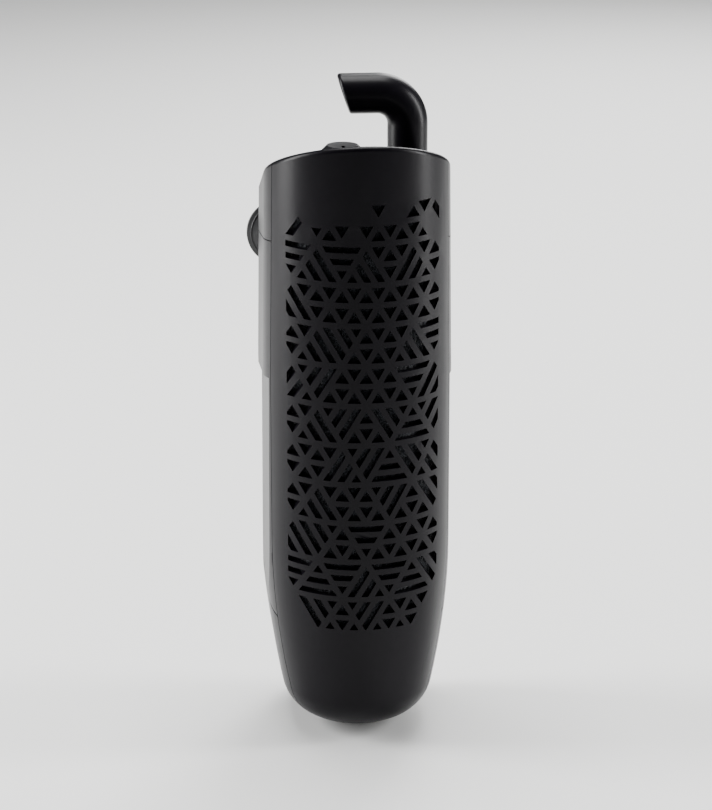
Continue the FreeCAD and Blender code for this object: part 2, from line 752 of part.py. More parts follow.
cap_form = form(S.wall + S.clearance, drop=S.cap_drop)
under_cap = [
    (-2 * PLAIN, -3 * PLAIN),
    (5.0, -3 * PLAIN),
    (5.0, top_height(5.0, S.cap_drop + S.cap_height)),
    (-2 * PLAIN, top_height(-2 * PLAIN, S.cap_drop + S.cap_height)),
]
cap_plate = solid("cap_plate", cap_form.cut(side_block(under_cap)))
NOZZLE_AT = ("nozzle_x", "-nozzle_depth")
DIAL_AT = ("dial_x", "-dial_depth")
ROTOR_AT = ("rotor_x", "-rotor_depth")
cap_middle = number_of("dial_base - dial_height")
cap_body = fuse(
    "cap_body",
    [
        cap_plate,
        rod("pedestal", "pedestal_radius", *DIAL_AT, (str(cap_middle), "dial_base - clearance")),
        rod("socket", "riser_radius + socket_wall - shaft_play", *NOZZLE_AT, ("socket_base", "socket_top")),
    ],
)
cap_bores = [
    rod("socket_bore", "nozzle_radius + shaft_play", *NOZZLE_AT, ("socket_base", "socket_top + 1")),
    rod("riser_seat_top", "riser_radius + shaft_play", *NOZZLE_AT, ("socket_base - 1", "socket_base + riser_seat")),
    rod(
        "dial_well",
        "dial_radius + dial_well_play",
        *DIAL_AT,
        ("dial_base - clearance", "dial_base + 2 * dial_height"),
    ),
    rod("dial_rod_bore", "dial_rod_radius + shaft_play", *DIAL_AT, (str(cap_middle - 1), "dial_base")),
    rod("seal_seat", "seal_radius + bush_play", *DIAL_AT, ("dial_base - clearance - seal_height", "dial_base")),
    slanted_rod("gland_hole", "gland_radius + bush_play", "gland_x", "gland_depth", "-cap_height - 1", "1"),
]
for side, screw_x in SCREW_SIDES.items():
    cap_bores.append(
        slanted_rod(f"cap_hole_{side}", "screw_radius + bush_play", screw_x, "cap_screw_depth", "-cap_height - 1", "1")
    )
top_cap = subpart(cut("top_cap", cap_body, cap_bores), "top_cap")


def screw(name, length):
    """A pan head screw whose head rests on its own z = 0."""
    points = [
        ("0", f"-({length})"),
        ("screw_radius", f"-({length})"),
        ("screw_radius", "0"),
        ("screw_head", "0"),
        ("screw_head", "screw_head / 3"),
        ("screw_head / 2", "screw_head * 2 / 3"),
        ("0", "screw_head * 2 / 3"),
    ]
    return turned(name, points)


def group(name, members):
    thing = doc.addObject("Part::Compound", name)
    thing.Links = members
    return thing


cap_screws = []
for side, screw_x in SCREW_SIDES.items():
    thing = screw(f"cap_screw_{side}", "screw_length")
    thing.Placement = slanted_place(screw_x, "cap_screw_depth", 0.0)
    cap_screws.append(thing)
subpart(group("cap_screws", cap_screws), "cap_screws")

gland = turned(
    "cable_gland_body",
    [
        ("gland_bore", "-cap_height - clearance - 1.5"),
        ("gland_radius + 0.6", "-cap_height - clearance - 1.5"),
        ("gland_radius + 0.6", "-cap_height - 0.1"),
        ("gland_radius", "-cap_height - 0.1"),
        ("gland_radius", "0.05"),
        ("gland_flange", "0.05"),
        ("gland_flange", "1.4"),
        ("gland_bore + 1.3", "4.5"),
        ("gland_bore", "4.5"),
    ],
)
gland.Placement = slanted_place("gland_x", "gland_depth", 0.0)
subpart(gland, "cable_gland")

# ---------------------------------------------------------------- suction cups


def suction_cup(name, x, z):
    """A cup that faces the glass, with a socket for its stud."""
    points = [
        ("0", "-cup_dish"),
        ("cup_radius - cup_rim", "0"),
        ("cup_radius", "0"),
        ("cup_radius", "-cup_lip"),
        ("cup_boss_radius", "-cup_cone_depth"),
        ("cup_boss_radius", "-standoff + clearance"),
        ("stud_radius + stud_play", "-standoff + clearance"),
        ("stud_radius + stud_play", "-cup_cone_depth"),
        ("0", "-cup_cone_depth"),
    ]
    cup = turned(name, points)
    cup.Placement = Placement(Vector(), Rotation(Vector(1, 0, 0), -90))
    return place(cup, x, "0", z)


upper_cups = [
    suction_cup("cup_left", "-cup_spacing", "cup_rise"),
    suction_cup("cup_right", "cup_spacing", "cup_rise"),
]
subpart(group("upper_suction_cups", upper_cups), "upper_suction_cups")
subpart(suction_cup("lower_cup", "0", "0"), "lower_suction_cup")

# ---------------------------------------------------------------- motor

CAN_X = ("can_left", "can_left + can_width")
CAN_Y = ("-rotor_depth - can_thickness / 2", "-rotor_depth + can_thickness / 2")
INSIDE_X = ("can_left + can_wall", "can_left + can_width - can_wall")
INSIDE_Y = ("-rotor_depth - can_thickness / 2 + can_wall", "-rotor_depth + can_thickness / 2 - can_wall")
CAN_TOP = "can_base + can_height"
WELL_TOP = "can_base + well_height"
RESIN_TOP = "can_base + can_height - resin_drop"

can_hollow = cut(
    "can_hollow",
    box("can_block", CAN_X, CAN_Y, ("can_base", CAN_TOP)),
    [box("can_inside", INSIDE_X, INSIDE_Y, ("can_base + can_wall", CAN_TOP + " + 1"))],
)
can_with_well = fuse(
    "can_with_well",
    [can_hollow, rod("well_tube", "well_radius + well_wall", *ROTOR_AT, ("can_base", WELL_TOP + " + well_wall"))],
)
can_bored = cut(
    "can_bored", can_with_well, [rod("well_bore", "well_radius", *ROTOR_AT, ("can_base - 1", WELL_TOP))]
)
BUSH_Z = (WELL_TOP + " - bush_length", WELL_TOP)
bush_collar = cut(
    "bush_collar",
    rod("collar_outside", "bush_radius + seat_wall", *ROTOR_AT, BUSH_Z),
    [rod("collar_inside", "bush_radius + bush_play", *ROTOR_AT, (BUSH_Z[0] + " - 1", WELL_TOP))],
)
subpart(fuse("motor_can", [can_bored, bush_collar]), "motor_can")

CORE_Z = ("can_base + core_lift", "can_base + core_lift + core_height")
YOKE_X = ("yoke_left", "yoke_left + yoke_width")
core_block = box(
    "core_block",
    ("core_left", YOKE_X[1]),
    ("-rotor_depth - core_half_depth", "-rotor_depth + core_half_depth"),
    CORE_Z,
)
core_bore = rod("core_bore", "well_radius + well_wall + core_play", *ROTOR_AT, CORE_Z)
core_window = box("core_window", ("rotor_x", "yoke_left"), ("-rotor_depth - pole_gap", "-rotor_depth + pole_gap"), CORE_Z)
stator_core = subpart(cut("stator_core", core_block, [core_bore, core_window]), "stator_core")


def round_yoke(name, grow, shorten):
    """A block round the yoke, grown sideways and up and down, between the core's arms."""
    x = (f"yoke_left - ({grow})", f"yoke_left + yoke_width + {grow}")
    y = (f"-rotor_depth - pole_gap + {shorten}", f"-rotor_depth + pole_gap - ({shorten})")
    z = (f"{CORE_Z[0]} - ({grow})", f"{CORE_Z[1]} + {grow}")
    return box(name, x, y, z)


bobbin = cut(
    "coil_bobbin",
    round_yoke("bobbin_block", "bobbin_wall", "bush_play"),
    [round_yoke("bobbin_hole", "0", "-1")],
)
subpart(bobbin, "coil_bobbin")
coil = cut(
    "stator_coil",
    round_yoke("coil_block", "bobbin_wall + coil_build", "2 * bush_play"),
    [round_yoke("coil_hole", "bobbin_wall", "-1")],
)
subpart(coil, "stator_coil")
resin_block = box("resin_block", INSIDE_X, INSIDE_Y, ("can_base + can_wall", RESIN_TOP))
well_solid = rod(
    "well_solid", "well_radius + well_wall + bush_play", *ROTOR_AT, ("can_base", WELL_TOP + " + well_wall")
)
resin_core = box(
    "resin_core",
    ("core_left", YOKE_X[1]),
    ("-rotor_depth - core_half_depth", "-rotor_depth + core_half_depth"),
    CORE_Z,
)
resin_coil = round_yoke("resin_coil", "bobbin_wall + coil_build", "0")
subpart(cut("potting_resin", resin_block, [well_solid, resin_core, resin_coil]), "potting_resin")

# ---------------------------------------------------------------- rotor

AXLE_BASE = "tray_base + tray_height / 2"
AXLE_TOP = WELL_TOP + " - 0.2"
subpart(rod("ceramic_axle", "axle_radius", *ROTOR_AT, (AXLE_BASE, AXLE_TOP)), "ceramic_axle")


def bush(name, z):
    ring = rod(name + "_outside", "bush_radius", *ROTOR_AT, z)
    hole = rod(name + "_inside", "axle_radius + bush_play / 2", *ROTOR_AT, (z[0] + " - 1", z[1] + " + 1"))
    return subpart(cut(name, ring, [hole]), name)


bush("upper_bush", (BUSH_Z[0] + " + 0.1", WELL_TOP + " - 0.1"))
bush("lower_bush", (AXLE_BASE, AXLE_BASE + " + bush_length"))

MAGNET_Z = ("magnet_base", "magnet_base + magnet_length")
magnet = cut(
    "rotor_magnet",
    rod("magnet_outside", "magnet_radius", *ROTOR_AT, MAGNET_Z),
    [rod("magnet_inside", "magnet_bore", *ROTOR_AT, ("magnet_base - 1", MAGNET_Z[1] + " + 1"))],
)
subpart(magnet, "rotor_magnet")

impeller = turned(
    "impeller",
    [
        ("axle_radius + shaft_play", "0"),
        ("hub_radius", "0"),
        ("hub_radius", "disc_base - hub_base"),
        ("disc_radius", "disc_base - hub_base"),
        ("disc_radius", "disc_base - hub_base + disc_height"),
        ("hub_radius", "disc_base - hub_base + disc_height"),
        ("hub_radius", "magnet_base - hub_base - 0.05"),
        ("magnet_bore - bush_play", "magnet_base - hub_base - 0.05"),
        ("magnet_bore - bush_play", "magnet_base - hub_base + magnet_length"),
        ("axle_radius + shaft_play", "magnet_base - hub_base + magnet_length"),
    ],
)
blade_sketch = new_sketch(impeller, "blade_section", "XY_Plane")
polygon(
    blade_sketch,
    [
        ("hub_radius - 0.6", "-blade_thickness / 2"),
        ("disc_radius - 0.2", "-blade_thickness / 2"),
        ("disc_radius - 0.2", "blade_thickness / 2"),
        ("hub_radius - 0.6", "blade_thickness / 2"),
    ],
)
blade = impeller.newObject("PartDesign::Pad", "blade")
blade.Profile = blade_sketch
blade.setExpression("Length", bound("disc_base - hub_base + disc_height / 2"))
doc.recompute()
blades = impeller.newObject("PartDesign::PolarPattern", "blades")
blades.Originals = [blade]
blades.Axis = (blade_sketch, ["N_Axis"])
blades.Angle = 360
blades.Occurrences = 6
impeller.Tip = blades
place(impeller, *ROTOR_AT, "hub_base")
subpart(impeller, "impeller")

# ---------------------------------------------------------------- pump tray and volute

TRAY_Z = ("tray_base", "tray_base + tray_height")
divider_back = S.seam_depth - S.divider_gap - S.divider_thickness
tray_region = between((-divider_back + S.clearance, 10.0), (S.tray_base, S.tray_base + S.tray_height))
tray_plate = solid("tray_plate", form(S.tray_inset).common(tray_region))
SEAT_TOP = AXLE_BASE + " + bush_length + 0.1"
tray_body = fuse(
    "tray_body",
    [tray_plate, rod("axle_seat", "bush_radius + seat_wall / 2", *ROTOR_AT, ("tray_base", SEAT_TOP))],
)
tray_holes = [
    rod("axle_seat_bore", "bush_radius + bush_play", *ROTOR_AT, (AXLE_BASE, SEAT_TOP + " + 1")),
    rod("tray_rod_bore", "dial_rod_radius + shaft_play", *DIAL_AT, ("tray_base - 1", TRAY_Z[1] + " + 1")),
]
for i in range(int(S.intake_holes)):
    turn = f"({i} * 360 / intake_holes)"
    hole_x = f"rotor_x + intake_circle * cos({turn} * 1deg)"
    hole_y = f"-rotor_depth + intake_circle * sin({turn} * 1deg)"
    tray_holes.append(
        rod(f"intake_{i + 1}", "intake_hole_radius", hole_x, hole_y, ("tray_base - 1", TRAY_Z[1] + " + 1"))
    )
LUG_YS = {"back": "-nozzle_depth + lug_reach", "front": "-nozzle_depth - lug_reach"}
for side, lug_y in LUG_YS.items():
    tray_holes.append(
        rod(f"tray_screw_{side}", "screw_radius + bush_play", "lug_x", lug_y, ("tray_base + 0.4", TRAY_Z[1] + " + 1"))
    )
subpart(cut("pump_tray", tray_body, tray_holes), "pump_tray")

VOLUTE_Z = (TRAY_Z[1], "can_base")
DUCT_Z = (f"{TRAY_Z[1]} + duct_floor", f"{TRAY_Z[1]} + duct_floor + duct_height")
duct_half = "riser_radius + shaft_play"
volute_pieces = [
    rod("volute_drum", "chamber_radius + chamber_wall", *ROTOR_AT, VOLUTE_Z),
    box(
        "duct_block",
        ("rotor_x", "nozzle_x"),
        (f"-nozzle_depth - ({duct_half})", f"-nozzle_depth + {duct_half}"),
        VOLUTE_Z,
    ),
    rod("riser_block", duct_half + " + 0.9", *NOZZLE_AT, VOLUTE_Z),
]
volute_holes = [
    rod("chamber", "chamber_radius", *ROTOR_AT, (TRAY_Z[1] + " - 1", "can_base - chamber_roof")),
    rod("rotor_passage", "well_radius", *ROTOR_AT, ("can_base - chamber_roof - 1", "can_base + 1")),
    box(
        "duct",
        ("rotor_x + chamber_radius / 2", "nozzle_x"),
        ("-nozzle_depth - duct_width / 2", "-nozzle_depth + duct_width / 2"),
        DUCT_Z,
    ),
    rod("duct_turn", "riser_bore", *NOZZLE_AT, (DUCT_Z[0], "can_base + 1")),
    rod("riser_seat_low", duct_half, *NOZZLE_AT, ("can_base - riser_seat", "can_base + 1")),
]
for side, lug_y in LUG_YS.items():
    volute_pieces.append(
        rod(f"lug_{side}", "lug_radius", "lug_x", lug_y, (TRAY_Z[1], TRAY_Z[1] + " + lug_height"))
    )
    volute_holes.append(
        rod(f"lug_bore_{side}", "screw_radius + bush_play", "lug_x", lug_y, (TRAY_Z[1] + " - 1", TRAY_Z[1] + " + lug_height + 1"))
    )
subpart(cut("volute_housing", fuse("volute_body", volute_pieces), volute_holes), "volute_housing")

pump_screws = []
for side, lug_y in LUG_YS.items():
    thing = screw(f"pump_screw_{side}", "lug_height + tray_height - 0.6")
    place(thing, "lug_x", lug_y, TRAY_Z[1] + " + lug_height")
    pump_screws.append(thing)
subpart(group("pump_screws", pump_screws), "pump_screws")

RISER_Z = ("can_base - riser_seat + 0.1", "socket_base + riser_seat - 0.1")
riser = cut(
    "riser_pipe",
    rod("riser_outside", "riser_radius", *NOZZLE_AT, RISER_Z),
    [rod("riser_inside", "riser_bore", *NOZZLE_AT, (RISER_Z[0] + " - 1", RISER_Z[1] + " + 1"))],
)
subpart(riser, "riser_pipe")

# ---------------------------------------------------------------- nozzle

NOZZLE_BASE = "(socket_base + riser_seat + 0.4)"
BEND_START = f"nozzle_axis_height - bend_radius - {NOZZLE_BASE}"
ARM_UP = f"nozzle_axis_height - {NOZZLE_BASE}"


def elbow_path(body, name):
    """Up from the socket, round the bend, then out along the arm."""
    sketch = new_sketch(body, name, "XZ_Plane")
    rise, up = number_of(BEND_START), number_of(ARM_UP)
    bend, reach = S.bend_radius, S.arm_reach
    centre = Vector(-bend, rise, 0)
    sketch.addGeometry(Part.LineSegment(Vector(0, 0, 0), Vector(0, rise, 0)), False)
    circle = Part.Circle(centre, Vector(0, 0, 1), bend)
    sketch.addGeometry(Part.ArcOfCircle(circle, 0, math.pi / 2), False)
    sketch.addGeometry(Part.LineSegment(Vector(-bend, up, 0), Vector(-reach, up, 0)), False)
    sketch.addConstraint(Sketcher.Constraint("Coincident", 0, 1, -1, 1))
    sketch.addConstraint(Sketcher.Constraint("Tangent", 0, 2, 1, 1))
    sketch.addConstraint(Sketcher.Constraint("Tangent", 1, 2, 2, 1))
    fix_point(sketch, 0, 2, "0", BEND_START, Vector(0, rise, 0))
    fix_point(sketch, 2, 2, "-arm_reach", ARM_UP, Vector(-reach, up, 0))
    return sketch


def ring_sketch(body, name, radius):
    sketch = new_sketch(body, name, "XY_Plane")
    sketch.addGeometry(Part.Circle(Vector(0, 0, 0), Vector(0, 0, 1), number_of(radius)), False)
    sketch.addConstraint(Sketcher.Constraint("Coincident", 0, 3, -1, 1))
    index = sketch.addConstraint(Sketcher.Constraint("Radius", 0, number_of(radius)))
    sketch.setExpression(f"Constraints[{index}]", bound(radius))
    return sketch


nozzle = doc.addObject("PartDesign::Body", "outlet_nozzle")
tube = nozzle.newObject("PartDesign::AdditivePipe", "tube")
tube_path = elbow_path(nozzle, "tube_path")
tube.Profile = ring_sketch(nozzle, "tube_ring", "nozzle_radius")
tube.Spine = tube_path
doc.recompute()
hollow = nozzle.newObject("PartDesign::SubtractivePipe", "hollow")
hollow.Profile = ring_sketch(nozzle, "bore_ring", "nozzle_bore")
hollow.Spine = elbow_path(nozzle, "bore_path")
doc.recompute()
tip_sketch = new_sketch(nozzle, "tip_cut", "XZ_Plane")
ARM_TOP = f"{ARM_UP} + nozzle_radius + 0.5"
ARM_LOW = f"{ARM_UP} - nozzle_radius - 0.5"
polygon(
    tip_sketch,
    [
        ("-arm_reach", ARM_TOP),
        ("-arm_reach - 5", ARM_TOP),
        ("-arm_reach - 5", ARM_LOW),
        ("-arm_reach + tip_slant", ARM_LOW),
    ],
)
tip = nozzle.newObject("PartDesign::Pocket", "slanted_tip")
tip.Profile = tip_sketch
tip.Midplane = True
tip.setExpression("Length", bound("4 * nozzle_radius"))
doc.recompute()


def rim_of_tip(shape):
    """The name of the longest edge that lies wholly at the arm's end."""
    bend_end = -S.bend_radius - 0.1
    ends = [
        (edge.Length, f"Edge{i + 1}")
        for i, edge in enumerate(shape.Edges)
        if edge.BoundBox.XMax < -S.arm_reach + S.tip_slant + 0.5 and edge.BoundBox.XMax < bend_end
    ]
    return max(ends)[1]


rounding = nozzle.newObject("PartDesign::Fillet", "tip_rounding")
rounding.Base = (tip, [rim_of_tip(tip.Shape)])
rounding.setExpression("Radius", bound("tip_round"))
doc.recompute()
groove_sketch = new_sketch(nozzle, "groove_section", "XZ_Plane")
GROOVE_LOW = "ring_rise - ring_section - 0.1"
GROOVE_HIGH = "ring_rise + ring_section + 0.1"
GROOVE_RADIUS = "nozzle_radius + shaft_play - 2 * ring_section - 0.05"
polygon(
    groove_sketch,
    [
        (GROOVE_RADIUS, GROOVE_LOW),
        ("nozzle_radius + 1", GROOVE_LOW),
        ("nozzle_radius + 1", GROOVE_HIGH),
        (GROOVE_RADIUS, GROOVE_HIGH),
    ],
)
groove = nozzle.newObject("PartDesign::Groove", "ring_groove")
groove.Profile = groove_sketch
groove.ReferenceAxis = (groove_sketch, ["V_Axis"])
groove.Angle = 360
place(nozzle, *NOZZLE_AT, NOZZLE_BASE)
subpart(nozzle, "outlet_nozzle")

ring = doc.addObject("Part::Torus", "nozzle_ring")
ring.setExpression("Radius1", bound("nozzle_radius + shaft_play - ring_section - 0.03"))
ring.setExpression("Radius2", bound("ring_section"))
place(ring, *NOZZLE_AT, f"{NOZZLE_BASE} + ring_rise")
subpart(ring, "nozzle_o_ring")

# ---------------------------------------------------------------- flow dial

dial = turned(
    "flow_dial",
    [
        ("dial_rod_radius + bush_play", "0"),
        ("dial_radius", "0"),
        ("dial_radius", "dial_height - dial_bevel"),
        ("dial_radius - dial_bevel", "dial_height"),
        ("0", "dial_height"),
        ("0", "dial_bore_depth"),
        ("dial_rod_radius + bush_play", "dial_bore_depth"),
    ],
)
doc.recompute()
mark_sketch = new_sketch(dial, "mark_section", "XY_Plane")
polygon(mark_sketch, [("-0.5", "-dial_radius - 1"), ("0.5", "-dial_radius - 1"), ("0.5", "-1.4"), ("-0.5", "-1.4")])
mark_sketch.AttachmentOffset = Placement(Vector(0, 0, number_of("dial_height - 0.7")), Rotation())
mark = dial.newObject("PartDesign::Pocket", "pointer_groove")
mark.Profile = mark_sketch
mark.Reversed = True
mark.Length = 3
place(dial, *DIAL_AT, "dial_base")
subpart(dial, "flow_dial")

SHUTTER_Z = ("tray_base - shutter_gap - shutter_height", "tray_base - shutter_gap")
ROD_BASE = "tray_base - shutter_gap - shutter_height - 0.4"
dial_rod = rod("dial_rod", "dial_rod_radius", *DIAL_AT, (ROD_BASE, "dial_base + dial_bore_depth - 0.1"))
subpart(dial_rod, "dial_rod")
seal = cut(
    "dial_seal",
    rod("seal_outside", "seal_radius", *DIAL_AT, ("dial_base - clearance - seal_height + 0.05", "dial_base - clearance")),
    [rod("seal_inside", "dial_rod_radius + shaft_play / 2", *DIAL_AT, ("dial_base - seal_height - 1", "dial_base + 1"))],
)
subpart(seal, "dial_seal")

reach_x, reach_y = S.rotor_x - S.dial_x, S.dial_depth - S.rotor_depth
arm_length = math.hypot(reach_x, reach_y)
closed_angle = math.degrees(math.atan2(reach_y, reach_x))
local_z = ("0", "shutter_height")
shutter = cut(
    "intake_shutter",
    fuse(
        "shutter_body",
        [
            rod("shutter_hub", "dial_rod_radius + 0.7", "0", "0", local_z),
            rod("shutter_disc", "shutter_disc", str(arm_length), "0", local_z),
            box("shutter_arm", ("0", str(arm_length)), ("-shutter_arm / 2", "shutter_arm / 2"), local_z),
        ],
    ),
    [rod("shutter_bore", "dial_rod_radius + bush_play / 2", "0", "0", ("-1", "shutter_height + 1"))],
)
shutter.Placement = Placement(Vector(), Rotation(Vector(0, 0, 1), closed_angle - S.shutter_open))
place(shutter, *DIAL_AT, SHUTTER_Z[0])
subpart(shutter, "intake_shutter")

# ---------------------------------------------------------------- divider and filter media

everywhere = (-3 * PLAIN, 3 * PLAIN)
divider_region = between(
    (-S.seam_depth + S.divider_gap, -S.seam_depth + S.divider_gap + S.divider_thickness),
    (-3 * PLAIN, S.divider_top),
)
divider_plate = solid("divider_plate", form(S.wall + S.clearance).common(divider_region))
divider_cuts = []
pitch_x = S.slot_width + S.slot_bridge
pitch_z = S.slot_height + S.slot_bridge
for row_index in range(int(S.slot_rows)):
    for column in range(int(S.slot_columns)):
        middle = (column - (S.slot_columns - 1) / 2) * pitch_x
        low = S.slots_bottom + row_index * pitch_z
        corner = Vector(middle - S.slot_width / 2, -S.seam_depth - 5, low)
        divider_cuts.append(Part.makeBox(S.slot_width, 15, S.slot_height, corner))
for edge in (-S.half_width, S.catch_inner - S.clearance):
    width = S.half_width - S.catch_inner + S.clearance
    corner = Vector(edge, -S.seam_depth - 5, S.catch_base - S.clearance)
    divider_cuts.append(Part.makeBox(width, 15, S.catch_height + 2 * S.clearance, corner))
divider_plate.Shape = divider_plate.Shape.cut(divider_cuts)
subpart(divider_plate, "divider_grid")

cap_underside = S.cap_drop + S.cap_height + S.foam_top_gap
pad_front = -S.seam_depth - S.pad_thickness
pad_shape = form(S.media_inset).common(
    between((pad_front, -S.seam_depth + S.divider_gap - S.clearance), (-3 * PLAIN, S.divider_top))
)
subpart(solid("carbon_pad", pad_shape), "carbon_pad")
foam_shape = form(S.wall + S.foam_gap, drop=cap_underside).common(
    between((-3 * PLAIN, pad_front - S.clearance), everywhere)
)
subpart(solid("front_foam", foam_shape), "front_foam")
rear_foam_shape = form(S.media_inset).common(
    between((-divider_back + S.clearance, 10.0), (-3 * PLAIN, S.rear_foam_top))
)
subpart(solid("rear_foam", rear_foam_shape), "rear_foam")

# ---------------------------------------------------------------- check and write

doc.recompute()
for thing in doc.Objects:
    if "Invalid" in thing.State or "Error" in thing.State:
        raise RuntimeError(f"{thing.Name} failed: {thing.State}")
for thing in SUBPARTS:
    if thing.Shape.isNull() or not thing.Shape.isValid() or not thing.Shape.Solids:
        raise RuntimeError(f"{thing.Label} has no valid shape")

os.makedirs("parts", exist_ok=True)
for thing in SUBPARTS:
    thing.Shape.exportStep(f"parts/{thing.Label}.step")
print(len(SUBPARTS), "sub-parts written")
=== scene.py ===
# %% [markdown]
# # An aquarium filter, dressed for its portrait
# The CAD model already holds every piece in its place. This lesson gives each piece its real finish, and
# makes again the few that a CAD solid shows too plainly: foam, suction cups, screws and the wound coil.
# All lengths are in metres, +Z is up, and the aquarium's glass is the plane y = 0.

# %% Load the frame
import json
import math

import bmesh
import bpy
from mathutils import Matrix, Vector


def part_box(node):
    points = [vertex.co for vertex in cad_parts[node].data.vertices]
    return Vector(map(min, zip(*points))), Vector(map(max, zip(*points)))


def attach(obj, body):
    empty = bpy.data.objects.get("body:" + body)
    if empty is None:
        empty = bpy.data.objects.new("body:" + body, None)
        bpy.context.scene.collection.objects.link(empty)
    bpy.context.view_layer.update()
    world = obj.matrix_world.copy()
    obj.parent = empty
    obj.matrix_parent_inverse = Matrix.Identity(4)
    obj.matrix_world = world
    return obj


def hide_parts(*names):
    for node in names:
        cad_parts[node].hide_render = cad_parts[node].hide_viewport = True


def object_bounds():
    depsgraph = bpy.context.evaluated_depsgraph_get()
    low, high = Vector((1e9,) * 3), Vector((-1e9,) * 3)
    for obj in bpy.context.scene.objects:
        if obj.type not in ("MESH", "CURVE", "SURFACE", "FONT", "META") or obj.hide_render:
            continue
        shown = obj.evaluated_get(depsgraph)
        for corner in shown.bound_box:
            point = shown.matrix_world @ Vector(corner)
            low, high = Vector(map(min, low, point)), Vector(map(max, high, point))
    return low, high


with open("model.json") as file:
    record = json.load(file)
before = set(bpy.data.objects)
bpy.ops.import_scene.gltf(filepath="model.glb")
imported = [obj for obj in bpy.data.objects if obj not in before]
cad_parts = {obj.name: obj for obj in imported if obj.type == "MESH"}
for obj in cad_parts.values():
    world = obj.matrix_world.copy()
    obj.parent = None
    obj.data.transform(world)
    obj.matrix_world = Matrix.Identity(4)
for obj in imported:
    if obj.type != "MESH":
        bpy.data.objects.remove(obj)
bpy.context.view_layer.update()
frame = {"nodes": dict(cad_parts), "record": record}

MM = 0.001

# %% [markdown]
# ## Shader maths that reads like maths
# A material is a net of nodes. Written node by node, `1 - mask * 0.5` takes six lines and hides what it
# means. `Term` wraps one output socket and overloads the operators, so an expression in Python adds the Math
# nodes by itself. The reflected subtraction lets a plain number stand on the left.


# %% A term of an expression
class Term:
    """One output socket; arithmetic on it adds Math nodes to the same tree."""

    def __init__(self, nodes, socket):
        self.nodes = nodes
        self.socket = socket

    def math(self, operation, *values, clamp=False):
        settings = {"operation": operation, "use_clamp": clamp}
        return self.nodes.add("ShaderNodeMath", settings, dict(enumerate(values)))

    def __add__(self, other):
        return self.math("ADD", self, other)

    def __rsub__(self, other):
        return self.math("SUBTRACT", other, self)

    def __mul__(self, other):
        return self.math("MULTIPLY", self, other)

    def __pow__(self, other):
        return self.math("POWER", self, other)

    def sine(self):
        return self.math("SINE", self)

    def between(self, low, high):
        """0 below low, 1 above high, and a straight slope from one to the other."""
        return self.math("MULTIPLY_ADD", self, 1 / (high - low), -low / (high - low), clamp=True)


# %% [markdown]
# ## One way to add any node
# Shader trees and geometry trees want the same three things: a node's type, its settings, and what goes into
# its sockets. One method does that for both. Sockets are named or numbered, because a Mix node has several
# called A.


# %% The node method
class Nodes:
    """A node tree that is being built."""

    def __init__(self, tree):
        self.tree = tree

    def add(self, kind, settings=None, inputs=None, output=0):
        node = self.tree.nodes.new(kind)
        for name, value in (settings or {}).items():
            setattr(node, name, value)
        for key, value in (inputs or {}).items():
            self.feed(node.inputs[key], value)
        return Term(self, node.outputs[output])

    def feed(self, socket, value):
        if isinstance(value, Term):
            self.tree.links.new(value.socket, socket)
        else:
            socket.default_value = value


# %% [markdown]
# ## Finishes
# A finish is one Principled shader. What is the same all over the piece is set on the shader's own socket.
# What changes over the surface comes from three-dimensional noise on Object coordinates, so it needs no
# unwrapping and runs on over the edges of a piece, as the grain of moulded plastic does.


# %% The finish class
class Finish(Nodes):
    """A material with a Principled shader and helpers for what changes over its surface."""

    def __init__(self, name, **constants):
        self.material = bpy.data.materials.new(name)
        self.material.use_nodes = True
        super().__init__(self.material.node_tree)
        self.shader = self.tree.nodes["Principled BSDF"]
        for socket, value in constants.items():
            self.shader.inputs[socket.replace("_", " ")].default_value = value
        self.place = self.add("ShaderNodeTexCoord", output="Object")

    def axis(self, name):
        return self.add("ShaderNodeSeparateXYZ", None, {0: self.place}, "xyz".index(name))

    def noise(self, size, detail=3.0, roughness=0.55, stretch=(1, 1, 1)):
        """Noise from 0 to 1 whose blotches are about `size` metres across."""
        place = self.place
        if stretch != (1, 1, 1):
            place = self.add("ShaderNodeMapping", None, {"Vector": place, "Scale": stretch})
        sockets = {"Vector": place, "Scale": 1 / size, "Detail": detail, "Roughness": roughness}
        return self.add("ShaderNodeTexNoise", None, sockets, "Fac")

    def cells(self, size):
        """Distance to the nearest of many scattered points about `size` metres apart."""
        sockets = {"Vector": self.place, "Scale": 1 / size}
        return self.add("ShaderNodeTexVoronoi", {"feature": "F1"}, sockets, "Distance")

    def mix(self, factor, first, second):
        """One colour where the factor is 0, the other where it is 1."""
        inputs = {0: factor}
        for key, colour in ((6, first), (7, second)):
            inputs[key] = colour if isinstance(colour, Term) else (*colour, 1.0)
        return self.add("ShaderNodeMix", {"data_type": "RGBA"}, inputs, 2)

    def set(self, **sockets):
        for socket, value in sockets.items():
            if isinstance(value, tuple):
                value = (*value, 1.0)
            self.feed(self.shader.inputs[socket.replace("_", " ")], value)
        return self

    def bump(self, height, depth):
        """Relief of the given depth in metres."""
        inputs = {"Height": height, "Distance": depth, "Strength": 1.0}
        self.feed(self.shader.inputs["Normal"], self.add("ShaderNodeBump", None, inputs))
        return self


# %% [markdown]
# ### Black casing plastic
# The casing is moulded ABS with a satin skin. Such a skin is never even: the mould leaves a fine grain, slow
# swirls where the plastic flowed, and hands leave faint hairline scratches that show only in the highlights.
# Each of the three is one noise of its own size.


# %% Casing plastic
GRAIN_DEPTH = 0.012 * MM


